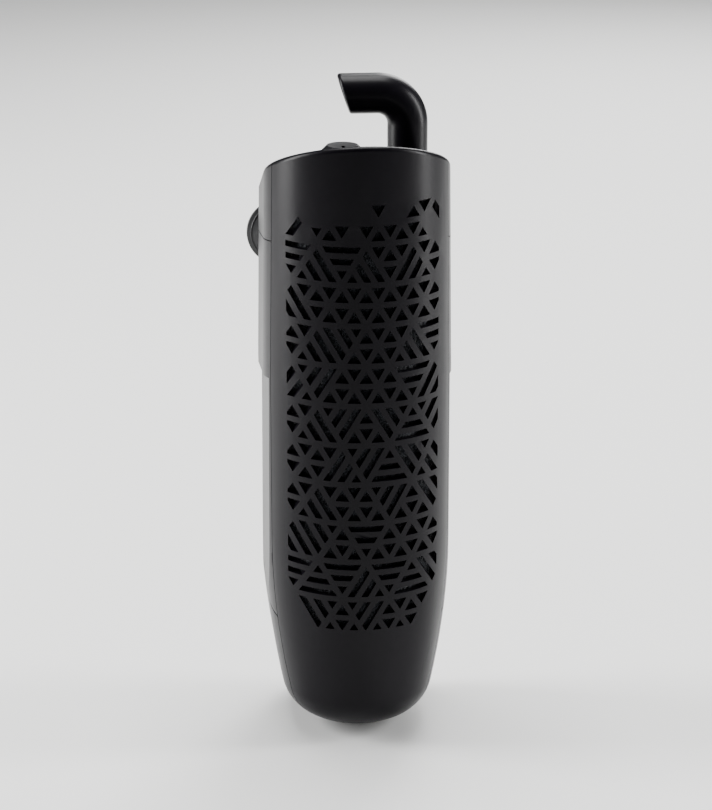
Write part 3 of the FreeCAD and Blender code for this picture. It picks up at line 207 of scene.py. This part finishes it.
def moulded_plastic(name, colour, roughness, coat, shine=0.5):
    finish = Finish(name, Coat_Weight=coat, Coat_Roughness=0.12, Specular_IOR_Level=shine)
    flow = finish.noise(38 * MM, detail=2)
    grain = finish.noise(0.32 * MM, detail=2)
    scratches = finish.noise(1.1 * MM, detail=4, stretch=(1, 1, 0.04)).between(0.58, 0.72)
    dust = finish.noise(5 * MM, detail=6, roughness=0.7).between(0.55, 0.9)
    darker = tuple(c * 0.8 for c in colour)
    lighter = tuple(c * 1.2 + 0.0005 for c in colour)
    dusty = tuple(c * 0.6 + 0.006 for c in colour)
    base = finish.mix(dust * 0.3, finish.mix(flow, darker, lighter), dusty)
    rough = flow * 0.05 + grain * 0.05 + scratches * 0.07 + dust * 0.08 + (roughness - 0.06)
    finish.set(Base_Color=base, Roughness=rough)
    return finish.bump(grain + flow * 2.5, GRAIN_DEPTH)


casing_plastic = moulded_plastic("satin_black_plastic", (0.0026, 0.0020, 0.0036), 0.34, 0.02, shine=0.11)
dial_plastic = moulded_plastic("dial_plastic", (0.0036, 0.0032, 0.0045), 0.4, 0.0, shine=0.15)
inner_plastic = moulded_plastic("inner_plastic", (0.045, 0.046, 0.05), 0.5, 0.0)
print("plastics:", casing_plastic.material.name, dial_plastic.material.name, inner_plastic.material.name)

# %% [markdown]
# ### Rubber
# Suction cups are soft and smooth where they meet the glass, with a faint bloom that soft rubber sweats
# out. Bushes and seals are harder and duller. Both are the same recipe with other numbers.


# %% Rubber
def rubber(name, colour, roughness, bloom):
    finish = Finish(name, Specular_IOR_Level=0.3)
    haze = finish.noise(4.5 * MM, detail=5, roughness=0.65).between(0.45, 0.85)
    speckle = finish.noise(0.25 * MM, detail=1)
    pale = tuple(c + bloom for c in colour)
    rough = haze * 0.14 + speckle * 0.05 + roughness
    finish.set(Base_Color=finish.mix(haze * 0.6, colour, pale), Roughness=rough)
    return finish.bump(speckle + haze * 2, 0.01 * MM)


cup_rubber = rubber("cup_rubber", (0.008, 0.008, 0.009), 0.34, 0.012)
seal_rubber = rubber("seal_rubber", (0.02, 0.02, 0.02), 0.55, 0.012)

# %% [markdown]
# ### Foam and fleece
# Open cell foam is a net of struts round empty cells. From a hand's breadth away one sees dark pits with
# pale rims, so the colour follows the distance to the nearest cell's middle: the struts keep the foam's own
# colour and the pits are painted shade. The same pattern, pushed into the mesh further down, gives a ragged
# outline. Fleece is drawn fibres with grains of charcoal between them.

# %% Foam and fleece
PORE = 1.5 * MM


def open_foam(name, strut, pit):
    finish = Finish(name, Roughness=0.9, Sheen_Weight=0.25, Sheen_Roughness=0.5)
    pores = finish.cells(PORE).between(0.15, 0.62)
    fine = finish.cells(PORE * 0.37).between(0.1, 0.7)
    tone = finish.noise(9 * MM)
    # Painted shade in the pits: the pit colour stands where shade falls inside the cells, and the rims keep
    # the struts' own colour.
    rims_against_pit_shade = (pores * 0.75 + fine * 0.25) * (tone * 0.5 + 0.7)
    finish.set(Base_Color=finish.mix(rims_against_pit_shade, pit, strut))
    return finish.bump(pores + fine * 0.4, 0.35 * MM)


def carbon_fleece(name):
    finish = Finish(name, Roughness=0.95, Sheen_Weight=0.3)
    fibres = finish.noise(0.9 * MM, detail=5, stretch=(1, 1, 0.25))
    grains = 1 - finish.cells(1.3 * MM).between(0.18, 0.4)
    shade = finish.mix(fibres, (0.035, 0.036, 0.038), (0.11, 0.11, 0.112))
    finish.set(Base_Color=finish.mix(grains, shade, (0.008, 0.008, 0.009)))
    return finish.bump(fibres + grains, 0.3 * MM)


# The struts' own colour comes first, then the painted shade of the pits.
foam_dark = open_foam("open_cell_foam", (0.03, 0.034, 0.042), (0.004, 0.005, 0.006))
fleece = carbon_fleece("carbon_fleece")

# %% [markdown]
# ### What the pump is made of
# The inner pieces are rarely seen, but the cover comes off. The stator core is a stack of half-millimetre
# sheets, so its sides carry fine lines across +Z. Copper wire is lacquered, ferrite is ground and speckled,
# resin is poured and sets with small bubbles, and the axle is polished ceramic.


# %% Metals
SHEET = 0.5 * MM


def laminated_steel():
    finish = Finish("laminated_steel", Metallic=1.0)
    wobble = finish.noise(3 * MM) * 0.6
    sheets = (finish.axis("z") * (2 * math.pi / SHEET) + wobble).sine() * 0.5 + 0.5
    rust = finish.noise(2.2 * MM, detail=5).between(0.6, 0.8)
    steel = finish.mix(sheets, (0.12, 0.12, 0.125), (0.42, 0.42, 0.43))
    finish.set(Base_Color=finish.mix(rust * 0.5, steel, (0.16, 0.07, 0.03)), Roughness=rust * 0.3 + 0.38)
    return finish.bump(sheets, 0.05 * MM)


def stainless():
    finish = Finish("stainless_screw", Metallic=1.0)
    brushed = finish.noise(0.5 * MM, detail=4, stretch=(1, 0.12, 1))
    stain = finish.noise(2 * MM, detail=4).between(0.5, 0.8)
    steel = finish.mix(brushed, (0.42, 0.42, 0.43), (0.62, 0.61, 0.6))
    shade = finish.mix(stain * 0.3, steel, (0.3, 0.24, 0.18))
    finish.set(Base_Color=shade, Roughness=brushed * 0.15 + 0.22)
    return finish.bump(brushed, 0.006 * MM)


def copper_wire():
    finish = Finish("lacquered_copper", Metallic=1.0, Coat_Weight=0.6, Coat_Roughness=0.1)
    tone = finish.noise(1.4 * MM, detail=3)
    shade = finish.mix(tone, (0.36, 0.12, 0.045), (0.62, 0.26, 0.1))
    finish.set(Base_Color=shade, Roughness=tone * 0.15 + 0.22)
    return finish.bump(tone, 0.01 * MM)


core_steel, screw_steel, copper = laminated_steel(), stainless(), copper_wire()


# %% Resin, ceramics and white plastic
def speckled(name, dark, light, speck, roughness, depth, **constants):
    """A dense material with specks of the given size."""
    finish = Finish(name, **constants)
    specks = finish.cells(speck).between(0.12, 0.42)
    cloud = finish.noise(speck * 9, detail=4)
    tone = specks * 0.45 + cloud * 0.55
    finish.set(Base_Color=finish.mix(tone, dark, light), Roughness=cloud * 0.1 + roughness)
    return finish.bump(specks, depth)


resin = speckled("cast_resin", (0.006, 0.006, 0.007), (0.02, 0.02, 0.022), 2.4 * MM, 0.12, 0.12 * MM)
ferrite = speckled("ground_ferrite", (0.035, 0.035, 0.04), (0.09, 0.09, 0.1), 0.3 * MM, 0.42, 0.02 * MM)
ceramic = speckled("white_ceramic", (0.74, 0.73, 0.69), (0.84, 0.83, 0.8), 0.2 * MM, 0.12, 0.003 * MM)
TRANSLUCENT = {"Subsurface_Weight": 0.1}
white_plastic = speckled(
    "impeller_white", (0.62, 0.63, 0.65), (0.74, 0.75, 0.77), 0.4 * MM, 0.32, 0.008 * MM, **TRANSLUCENT
)
nylon = speckled(
    "natural_nylon", (0.55, 0.52, 0.43), (0.68, 0.66, 0.57), 0.5 * MM, 0.4, 0.01 * MM, **TRANSLUCENT
)

# %% [markdown]
# ## Dressing the CAD nodes
# Where the CAD shape is right it stays, and only its material slot changes. A table from the record's slot
# names to the finishes does that in one loop, so no node can be forgotten.

# %% Dress the CAD nodes
FINISHES = {
    "casing_black": casing_plastic,
    "dial_grey": dial_plastic,
    "inner_plastic": inner_plastic,
    "cup_rubber": cup_rubber,
    "seal_rubber": seal_rubber,
    "foam_dark": foam_dark,
    "carbon_fleece": fleece,
    "lamination_steel": core_steel,
    "winding_copper": copper,
    "bobbin_nylon": nylon,
    "potting": resin,
    "ferrite": ferrite,
    "axle_ceramic": ceramic,
    "impeller_plastic": white_plastic,
    "screw_steel": screw_steel,
}
for entry in frame["record"]["subparts"]:
    materials = frame["nodes"][entry["node"]].data.materials
    materials.clear()
    materials.append(FINISHES[entry["material_slot"]].material)

# %% [markdown]
# ## Adding a piece
# Every new piece is a plain mesh at the origin, with its place in its vertices. It rides on the body that it
# belongs to, names the record's slot that its finish comes from, and may stand for a CAD node.


# %% Add a piece
def corners(mesh):
    """The lowest and the highest corner of the mesh's box."""
    points = [vertex.co for vertex in mesh.vertices]
    return [[pick(point[i] for point in points) for i in range(3)] for pick in (min, max)]


def add_piece(name, mesh, body, slot, stands_for=()):
    mesh.name = name
    piece = bpy.data.objects.new(name, mesh)
    bpy.context.scene.collection.objects.link(piece)
    mesh.materials.clear()
    mesh.materials.append(FINISHES[slot].material)
    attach(piece, body)
    if stands_for:
        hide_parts(*stands_for)
    size = [round((high - low) / MM, 1) for low, high in zip(*corners(mesh))]
    print(name, len(mesh.polygons), "faces,", size, "mm")
    return piece


def evaluated(host):
    """The host's mesh with its modifiers applied; the host itself is removed."""
    graph = bpy.context.evaluated_depsgraph_get()
    mesh = bpy.data.meshes.new_from_object(host.evaluated_get(graph))
    bpy.data.objects.remove(host)
    return mesh


def host_for(mesh):
    host = bpy.data.objects.new("host", mesh)
    bpy.context.scene.collection.objects.link(host)
    return host


def smooth(mesh, angle=35):
    """Rounded surfaces shade smoothly, and edges sharper than the angle stay crisp."""
    mesh.polygons.foreach_set("use_smooth", [True] * len(mesh.polygons))
    shape = bmesh.new()
    shape.from_mesh(mesh)
    for edge in shape.edges:
        edge.smooth = edge.is_manifold and edge.calc_face_angle(0) < math.radians(angle)
    shape.to_mesh(mesh)
    shape.free()
    return mesh


# %% [markdown]
# ## Turned pieces
# A suction cup is moulded, but its shape is the shape of a turned bowl: one profile spun round an axis. The
# profile is a list of (radius, height) pairs. Bevelled corners are simply two points close together, which
# catches a fine line of light along every rim.


# %% Turn a profile
def turned(profile, steps=72):
    """A closed mesh from (radius, height) pairs in millimetres, spun round Z."""
    shape = bmesh.new()
    rings = []
    for radius, height in profile:
        count = 1 if radius == 0 else steps
        ring = []
        for i in range(count):
            angle = 2 * math.pi * i / steps
            ring.append(
                shape.verts.new(Vector((radius * math.cos(angle), radius * math.sin(angle), height)) * MM)
            )
        rings.append(ring)
    for low, high in zip(rings, rings[1:]):
        for i in range(steps):
            j = (i + 1) % steps
            quad = [low[i % len(low)], low[j % len(low)], high[j % len(high)], high[i % len(high)]]
            corner_points = list(dict.fromkeys(quad))
            if len(corner_points) > 2:
                shape.faces.new(corner_points)
    bmesh.ops.recalc_face_normals(shape, faces=shape.faces)
    mesh = bpy.data.meshes.new("turned")
    shape.to_mesh(mesh)
    shape.free()
    return mesh


# %% [markdown]
# ### Suction cups
# Each cup has a thin lip that is nearly flat on the glass, fine moulded rings on the back of the lip, a
# waist, and a collar that is pushed over the casing's stud. The upper pair carries the weight, and the lower
# cup keeps the casing parallel to the glass.

# %% Suction cups
CUP_PROFILE = [
    (0, -2.2), (4.4, -1.1), (8.85, -0.02), (9.2, 0), (10.55, 0), (10.73, -0.2), (10.73, -0.75),
    (10.5, -1.0), (9.6, -1.35), (9.4, -1.62), (9.0, -1.62), (8.7, -1.9), (8.0, -2.3), (7.6, -2.72),
    (6.6, -3.3), (5.9, -3.85), (5.25, -4.5), (4.85, -5.2), (4.85, -6.4), (5.2, -6.9), (5.2, -8.3),
    (4.9, -8.65), (3.0, -8.7), (2.65, -8.4), (2.6, -4.5), (0, -4.4),
]
TO_GLASS = Matrix.Rotation(math.radians(-90), 4, "X")


def suction_cup(x, z):
    mesh = turned(CUP_PROFILE)
    mesh.transform(Matrix.Translation((x, 0, z)) @ TO_GLASS)
    return smooth(mesh, 50)


def joined(meshes):
    shape = bmesh.new()
    for mesh in meshes:
        shape.from_mesh(mesh)
    whole = bpy.data.meshes.new("joined")
    shape.to_mesh(whole)
    shape.free()
    return whole


low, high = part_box("upper_suction_cups")
cup_radius = (high.z - low.z) / 2
upper_x, upper_z = high.x - cup_radius, (high.z + low.z) / 2
pair = joined([suction_cup(-upper_x, upper_z), suction_cup(upper_x, upper_z)])
add_piece("suction_cups_upper", pair, "filter", "cup_rubber", ["upper_suction_cups"])
add_piece("suction_cup_lower", suction_cup(0, 0), "filter", "cup_rubber", ["lower_suction_cup"])

# %% [markdown]
# ## Geometry Nodes for what repeats
# Grip ribs, scale marks, screws and the turns of a coil are one small shape at many places. A geometry tree
# says the rule once, with named inputs for the sizes. `Recipe` is the same node method on a geometry tree.
# Its result is made real and turned to a plain mesh, because an export drops instances.


# %% The recipe class
class Recipe(Nodes):
    """A geometry tree with named inputs."""

    def __init__(self, name):
        super().__init__(bpy.data.node_groups.new(name, "GeometryNodeTree"))
        self.tree.interface.new_socket("Geometry", in_out="INPUT", socket_type="NodeSocketGeometry")
        self.tree.interface.new_socket("Geometry", in_out="OUTPUT", socket_type="NodeSocketGeometry")
        self.source = self.tree.nodes.new("NodeGroupInput")

    def input(self, name, kind="NodeSocketFloat"):
        self.tree.interface.new_socket(name, in_out="INPUT", socket_type=kind)
        return Term(self, self.source.outputs[name])

    def geometry(self):
        return Term(self, self.source.outputs["Geometry"])

    def vector(self, x=0.0, y=0.0, z=0.0):
        return self.add("ShaderNodeCombineXYZ", None, {0: x, 1: y, 2: z})

    def merged(self, geometries):
        join = self.tree.nodes.new("GeometryNodeJoinGeometry")
        for geometry in geometries:
            self.tree.links.new(geometry.socket, join.inputs[0])
        return Term(self, join.outputs[0])

    def give(self, geometry, finish):
        real = self.add("GeometryNodeRealizeInstances", None, {0: geometry})
        painted = self.add("GeometryNodeSetMaterial", None, {"Geometry": real, "Material": finish.material})
        self.tree.links.new(painted.socket, self.tree.nodes.new("NodeGroupOutput").inputs[0])
        return self

    def grow(self, mesh=None, **values):
        """The tree's result on a mesh, as a plain mesh, with each input set by its identifier."""
        host = host_for(mesh or bpy.data.meshes.new("empty"))
        modifier = host.modifiers.new("recipe", "NODES")
        modifier.node_group = self.tree
        for item in self.tree.interface.items_tree:
            if item.item_type == "SOCKET" and item.in_out == "INPUT" and item.name in values:
                modifier[item.identifier] = values[item.name]
        return evaluated(host)


# %% [markdown]
# ### Grip ribs on the dial
# The dial is turned with wet fingers, so its side is ribbed. One rib is a thin upright cylinder with eight
# sides, half sunk in the dial's side. The points of a mesh circle say where the ribs go.


# %% Dial ribs
def dial_rib_recipe():
    recipe = Recipe("dial_ribs")
    count = recipe.input("Count", "NodeSocketInt")
    radius, height, thickness = recipe.input("Radius"), recipe.input("Height"), recipe.input("Thickness")
    ring = recipe.add("GeometryNodeMeshCircle", None, {"Vertices": count, "Radius": radius})
    rib_shape = {"Vertices": 8, "Radius": thickness, "Depth": height}
    rib = recipe.add("GeometryNodeMeshCylinder", None, rib_shape)
    ribs = recipe.add("GeometryNodeInstanceOnPoints", None, {"Points": ring, "Instance": rib})
    return recipe.give(ribs, dial_plastic)


low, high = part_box("flow_dial")
dial_centre = Vector(((low.x + high.x) / 2, (low.y + high.y) / 2, low.z))
dial_radius = (high.x - low.x) / 2
RIBS, RIB_HEIGHT, RIB_LEVEL, RIB_RADIUS, RIB_SINK = 28, 2.1 * MM, 1.45 * MM, 0.38 * MM, 0.12 * MM
ribs = dial_rib_recipe().grow(
    Count=RIBS, Radius=dial_radius - RIB_SINK, Height=RIB_HEIGHT, Thickness=RIB_RADIUS
)
ribs.transform(Matrix.Translation(dial_centre + Vector((0, 0, RIB_LEVEL))))
add_piece("dial_grip_ribs", smooth(ribs, 50), "regulator", "dial_grey")

# %% [markdown]
# ### Flow marks on the cap
# Round the dial the cap carries a row of raised ticks that grow longer towards full flow. The top slants, so
# the marks are made flat, then laid onto the slant with the cap's own turn.

# %% Flow marks
SLOPE = math.radians(-24.0)
TOP_FRONT = 121.0 * MM
CAP_DROP = 0.6 * MM


def cap_plane(x, depth):
    """The place on the slanted cap at a depth from the glass, turned square to it."""
    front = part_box("front_cover")[0].y
    z = TOP_FRONT + math.tan(SLOPE) * (-depth - front) - CAP_DROP / math.cos(SLOPE)
    return Matrix.Translation((x, -depth, z)) @ Matrix.Rotation(SLOPE, 4, "X")


FIRST_MARK, MARK_GROWTH, MARK_HEIGHT = 0.6, 0.14, 0.5 * MM


def flow_mark_recipe():
    recipe = Recipe("flow_marks")
    count = recipe.input("Count", "NodeSocketInt")
    radius, sweep = recipe.input("Radius"), recipe.input("Sweep")
    length, width = recipe.input("Length"), recipe.input("Width")
    arc_inputs = {"Resolution": count, "Radius": radius, "Start Angle": 0.0, "Sweep Angle": sweep}
    arc = recipe.add("GeometryNodeCurveArc", {"mode": "RADIUS"}, arc_inputs)
    points = recipe.add("GeometryNodeCurveToPoints", {"mode": "EVALUATED"}, {"Curve": arc})
    place = recipe.add("GeometryNodeInputPosition")
    parts = [recipe.add("ShaderNodeSeparateXYZ", None, {0: place}, i) for i in (0, 1)]
    angle = recipe.add("ShaderNodeMath", {"operation": "ARCTAN2"}, {0: parts[1], 1: parts[0]})
    growth = recipe.add("GeometryNodeInputIndex") * MARK_GROWTH + FIRST_MARK
    bar = recipe.add("GeometryNodeMeshCube", None, {"Size": recipe.vector(length, width, MARK_HEIGHT)})
    inputs = {
        "Points": points,
        "Instance": bar,
        "Rotation": recipe.vector(0.0, 0.0, angle),
        "Scale": recipe.vector(growth, 1.0, 1.0),
    }
    return recipe.give(recipe.add("GeometryNodeInstanceOnPoints", None, inputs), casing_plastic)


marks = flow_mark_recipe().grow(
    Count=7, Radius=11.3 * MM, Sweep=math.radians(105), Length=2.2 * MM, Width=0.7 * MM
)
FIRST_ANGLE, MARK_SHIFT = math.radians(35), 1.5 * MM
marks.transform(Matrix.Rotation(FIRST_ANGLE, 4, "Z"))
marks.transform(cap_plane(dial_centre.x, -dial_centre.y - MARK_SHIFT))
add_piece("flow_marks", marks, "filter", "casing_black")

# %% [markdown]
# ### Screws
# The cap is held by two pan head screws with a cross recess. One screw is turned from its profile and the
# cross is cut with a Boolean. A geometry tree then puts a copy on each point of a small mesh, whose vertices
# sit where the screws go.


# %% Screws
HEAD_RADIUS = 2.5
CROSS_LENGTH, CROSS_WIDTH, CROSS_TOP = 2.6, 0.62, 1.6


def cross_screw(length):
    """A screw whose head rests on z = 0, with its shank of the given length in millimetres below."""
    r = HEAD_RADIUS
    profile = [
        (0, -length), (0.7, -length), (1.22, -length + 0.6), (1.22, -0.05), (r - 0.08, 0.0), (r, 0.1),
        (r * 0.97, 0.6), (r * 0.82, 1.1), (r * 0.55, 1.45), (r * 0.2, 1.6), (0, 1.62),
    ]
    host = host_for(turned(profile, 48))
    cutters = []
    for width, depth in ((CROSS_LENGTH, CROSS_WIDTH), (CROSS_WIDTH, CROSS_LENGTH)):
        shape = bmesh.new()
        stretch = Matrix.Diagonal((width * MM, depth * MM, CROSS_TOP * MM, 1))
        bmesh.ops.create_cube(shape, size=1.0, matrix=Matrix.Translation((0, 0, CROSS_TOP * MM)) @ stretch)
        mesh = bpy.data.meshes.new("cutter")
        shape.to_mesh(mesh)
        shape.free()
        cutter = host_for(mesh)
        boolean = host.modifiers.new("cross", "BOOLEAN")
        boolean.object = cutter
        cutters.append(cutter)
    mesh = evaluated(host)
    for cutter in cutters:
        bpy.data.objects.remove(cutter)
    return smooth(mesh, 30)


def screw_recipe():
    recipe = Recipe("screws")
    screw = recipe.input("Screw", "NodeSocketObject")
    info = recipe.add("GeometryNodeObjectInfo", None, {"Object": screw}, "Geometry")
    points = recipe.add("GeometryNodeMeshToPoints", None, {"Mesh": recipe.geometry()})
    spin = recipe.add("FunctionNodeRandomValue", {"data_type": "FLOAT"}, {"Max": 3.0, "Seed": 5}, 1)
    inputs = {"Points": points, "Instance": info, "Rotation": recipe.vector(0.0, 0.0, spin)}
    return recipe.give(recipe.add("GeometryNodeInstanceOnPoints", None, inputs), screw_steel)


def screws_at(points, length):
    model = host_for(cross_screw(length))
    seats = bpy.data.meshes.new("seats")
    seats.from_pydata(points, [], [])
    mesh = screw_recipe().grow(seats, Screw=model)
    bpy.data.objects.remove(model)
    return mesh


CAP_SCREW_LENGTH, CAP_SCREW_DEPTH, CAP_SCREW_INSET = 7.0, 15.0 * MM, 2.0 * MM
low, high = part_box("cap_screws")
screw_x = high.x - CAP_SCREW_INSET
cap_screws = screws_at([(-screw_x, 0, 0), (screw_x, 0, 0)], CAP_SCREW_LENGTH)
cap_screws.transform(cap_plane(0, CAP_SCREW_DEPTH))
add_piece("cap_screws_cross", smooth(cap_screws, 30), "filter", "screw_steel", ["cap_screws"])

low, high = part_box("pump_screws")
pump_middle = (low + high) / 2
head_z = high.z - HEAD_RADIUS * 2 / 3 * MM
reach = (high.y - low.y) / 2 - HEAD_RADIUS * MM
pump_seats = [(pump_middle.x, pump_middle.y + side * reach, head_z) for side in (-1, 1)]
pump_screws = screws_at(pump_seats, (head_z - low.z) / MM)
add_piece("pump_screws_cross", smooth(pump_screws, 30), "filter", "screw_steel", ["pump_screws"])

# %% [markdown]
# ### The wound coil
# A coil is wire laid turn beside turn and layer over layer round its bobbin. Each layer is one rounded
# rectangle, repeated along the bobbin's axis; the next layer's rectangle is a wire wider. The tree sweeps a
# six-sided section along all of them.


# %% Coil winding
PITCH = 1.02


def coil_recipe(layers):
    recipe = Recipe("coil_turns")
    width, depth = recipe.input("Inner width"), recipe.input("Inner height")
    wire, turns = recipe.input("Wire"), recipe.input("Turns", "NodeSocketInt")
    section = recipe.add("GeometryNodeCurvePrimitiveCircle", None, {"Resolution": 6, "Radius": wire * 0.5})
    layer_shapes = []
    for layer in range(layers):
        grown = wire * (2 * layer + 1)
        sizes = {"Width": width + grown, "Height": depth + grown}
        loop = recipe.add("GeometryNodeCurvePrimitiveQuadrilateral", None, sizes)
        corner = {"Curve": loop, "Count": 4, "Radius": wire * (layer + 1.5)}
        rounded = recipe.add("GeometryNodeFilletCurve", {"mode": "POLY"}, corner)
        step = recipe.vector(0.0, 0.0, wire * PITCH)
        row = {"Count": turns, "Start Location": recipe.vector(0.0, 0.0, wire * 0.5), "Offset": step}
        line = recipe.add("GeometryNodeMeshLine", None, row)
        placed = recipe.add("GeometryNodeInstanceOnPoints", None, {"Points": line, "Instance": rounded})
        loops = recipe.add("GeometryNodeRealizeInstances", None, {0: placed})
        swept = {"Curve": loops, "Profile Curve": section}
        layer_shapes.append(recipe.add("GeometryNodeCurveToMesh", None, swept))
    return recipe.give(recipe.merged(layer_shapes), copper)


low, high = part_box("stator_coil")
inner_low, inner_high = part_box("coil_bobbin")
WIRE = 0.55 * MM
coil_layers = int((high.x - inner_high.x) / WIRE)
coil_turns = int((high.y - low.y) / (WIRE * PITCH))
coil_sizes = {
    "Inner width": inner_high.x - inner_low.x,
    "Inner height": inner_high.z - inner_low.z,
    "Wire": WIRE,
    "Turns": coil_turns,
}
coil = coil_recipe(coil_layers).grow(**coil_sizes)
coil_place = Matrix.Translation(((low.x + high.x) / 2, high.y, (low.z + high.z) / 2))
coil.transform(coil_place @ Matrix.Rotation(math.radians(90), 4, "X"))
add_piece("coil_winding", smooth(coil, 70), "filter", "winding_copper", ["stator_coil"])

# %% [markdown]
# ### Foam with a broken skin
# A foam block is cut from a bigger one, so its faces are sliced cells. The CAD block is remeshed into small
# even quads, and a tree pushes each point inwards by the same cell pattern that the material draws. Moving
# points only inwards keeps the block clear of its neighbours.


# %% Foam blocks
def foam_recipe(finish):
    recipe = Recipe("foam_cells")
    pore, depth = recipe.input("Pore"), recipe.input("Depth")
    place = recipe.add("GeometryNodeInputPosition")
    cell_inputs = {"Vector": place, "Scale": pore ** -1.0}
    cells = recipe.add("ShaderNodeTexVoronoi", {"feature": "F1"}, cell_inputs, "Distance")
    pit = 1 - cells.between(0.1, 0.6)
    normal = recipe.add("GeometryNodeInputNormal")
    inwards = {0: normal, "Scale": pit * depth * -1.0}
    push = recipe.add("ShaderNodeVectorMath", {"operation": "SCALE"}, inwards)
    moved = recipe.add("GeometryNodeSetPosition", None, {"Geometry": recipe.geometry(), "Offset": push})
    shaded = recipe.add("GeometryNodeSetShadeSmooth", None, {"Geometry": moved})
    return recipe.give(shaded, finish)


def foam_block(node, voxel, pore, depth, finish):
    """A copy of a CAD block, merged, remeshed and then broken up by the recipe."""
    mesh = frame["nodes"][node].data.copy()
    shape = bmesh.new()
    shape.from_mesh(mesh)
    bmesh.ops.remove_doubles(shape, verts=shape.verts, dist=0.001 * MM)
    bmesh.ops.recalc_face_normals(shape, faces=shape.faces)
    shape.to_mesh(mesh)
    shape.free()
    host = host_for(mesh)
    remesh = host.modifiers.new("even_quads", "REMESH")
    remesh.mode = "VOXEL"
    remesh.voxel_size = voxel
    return foam_recipe(finish).grow(evaluated(host), Pore=pore, Depth=depth)


BLOCKS = {
    "front_foam": ("front_foam_block", 0.8 * MM, PORE, 0.7 * MM, "foam_dark"),
    "rear_foam": ("rear_foam_block", 0.95 * MM, PORE, 0.7 * MM, "foam_dark"),
    "carbon_pad": ("carbon_pad_sheet", 0.95 * MM, 1.3 * MM, 0.35 * MM, "carbon_fleece"),
}
for node, (name, voxel, pore, depth, slot) in BLOCKS.items():
    block = add_piece(name, foam_block(node, voxel, pore, depth, FINISHES[slot]), "filter", slot, [node])

# %% [markdown]
# ## Floor, light and camera
# A black, half-glossy thing is seen mostly by what it reflects. Two tall soft lights, one on each side, draw
# the long upright highlights that show a round front, and the pale floor fills in from below. The camera
# stands a little above and to the left, and looks down at the filter.


# %% Floor
FLOOR_HALF = 14.0


def floor_plane(level):
    mesh = bpy.data.meshes.new("floor")
    square = [(-1, -1), (1, -1), (1, 1), (-1, 1)]
    mesh.from_pydata([(x * FLOOR_HALF, y * FLOOR_HALF, level) for x, y in square], [], [(0, 1, 2, 3)])
    floor = bpy.data.objects.new("floor", mesh)
    bpy.context.scene.collection.objects.link(floor)
    pale = Finish("pale_floor", Roughness=0.75, IOR=1.3)
    pale.set(Base_Color=pale.mix(pale.noise(400 * MM, detail=2), (0.78, 0.78, 0.77), (0.81, 0.81, 0.80)))
    mesh.materials.append(pale.material)


low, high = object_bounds()
floor_plane(low[2])
middle = (Vector(low) + Vector(high)) / 2


# %% Lights
def soft_light(name, place, size, watts):
    lamp = bpy.data.lights.new(name, "AREA")
    lamp.shape = "RECTANGLE"
    lamp.size, lamp.size_y = size
    lamp.energy = watts
    light = bpy.data.objects.new(name, lamp)
    light.location = place
    light.rotation_euler = (middle - Vector(place)).to_track_quat("-Z", "Y").to_euler()
    bpy.context.scene.collection.objects.link(light)


soft_light("left_softbox", (-1.0, 0.15, 0.25), (0.4, 1.1), 30.0)
soft_light("right_softbox", (0.95, -0.1, 0.3), (0.2, 0.8), 14.0)
soft_light("top_softbox", (0.0, 0.25, 1.3), (0.8, 0.8), 26.0)
soft_light("back_softbox", (0.4, 1.0, 0.7), (0.5, 0.9), 14.0)

world = bpy.data.worlds.new("studio")
bpy.context.scene.world = world
world.use_nodes = True
sky = world.node_tree.nodes["Background"]
sky.inputs["Color"].default_value = (0.86, 0.88, 0.9, 1.0)
sky.inputs["Strength"].default_value = 0.12

# %% Camera
camera_data = bpy.data.cameras.new("camera")
camera = bpy.data.objects.new("camera", camera_data)
bpy.context.scene.collection.objects.link(camera)
camera.location = (-0.0811, -0.855, 0.2941)
camera.rotation_euler = (middle - camera.location).to_track_quat("-Z", "Y").to_euler()
camera_data.lens = 122.0
camera_data.dof.use_dof = False
bpy.context.scene.camera = camera
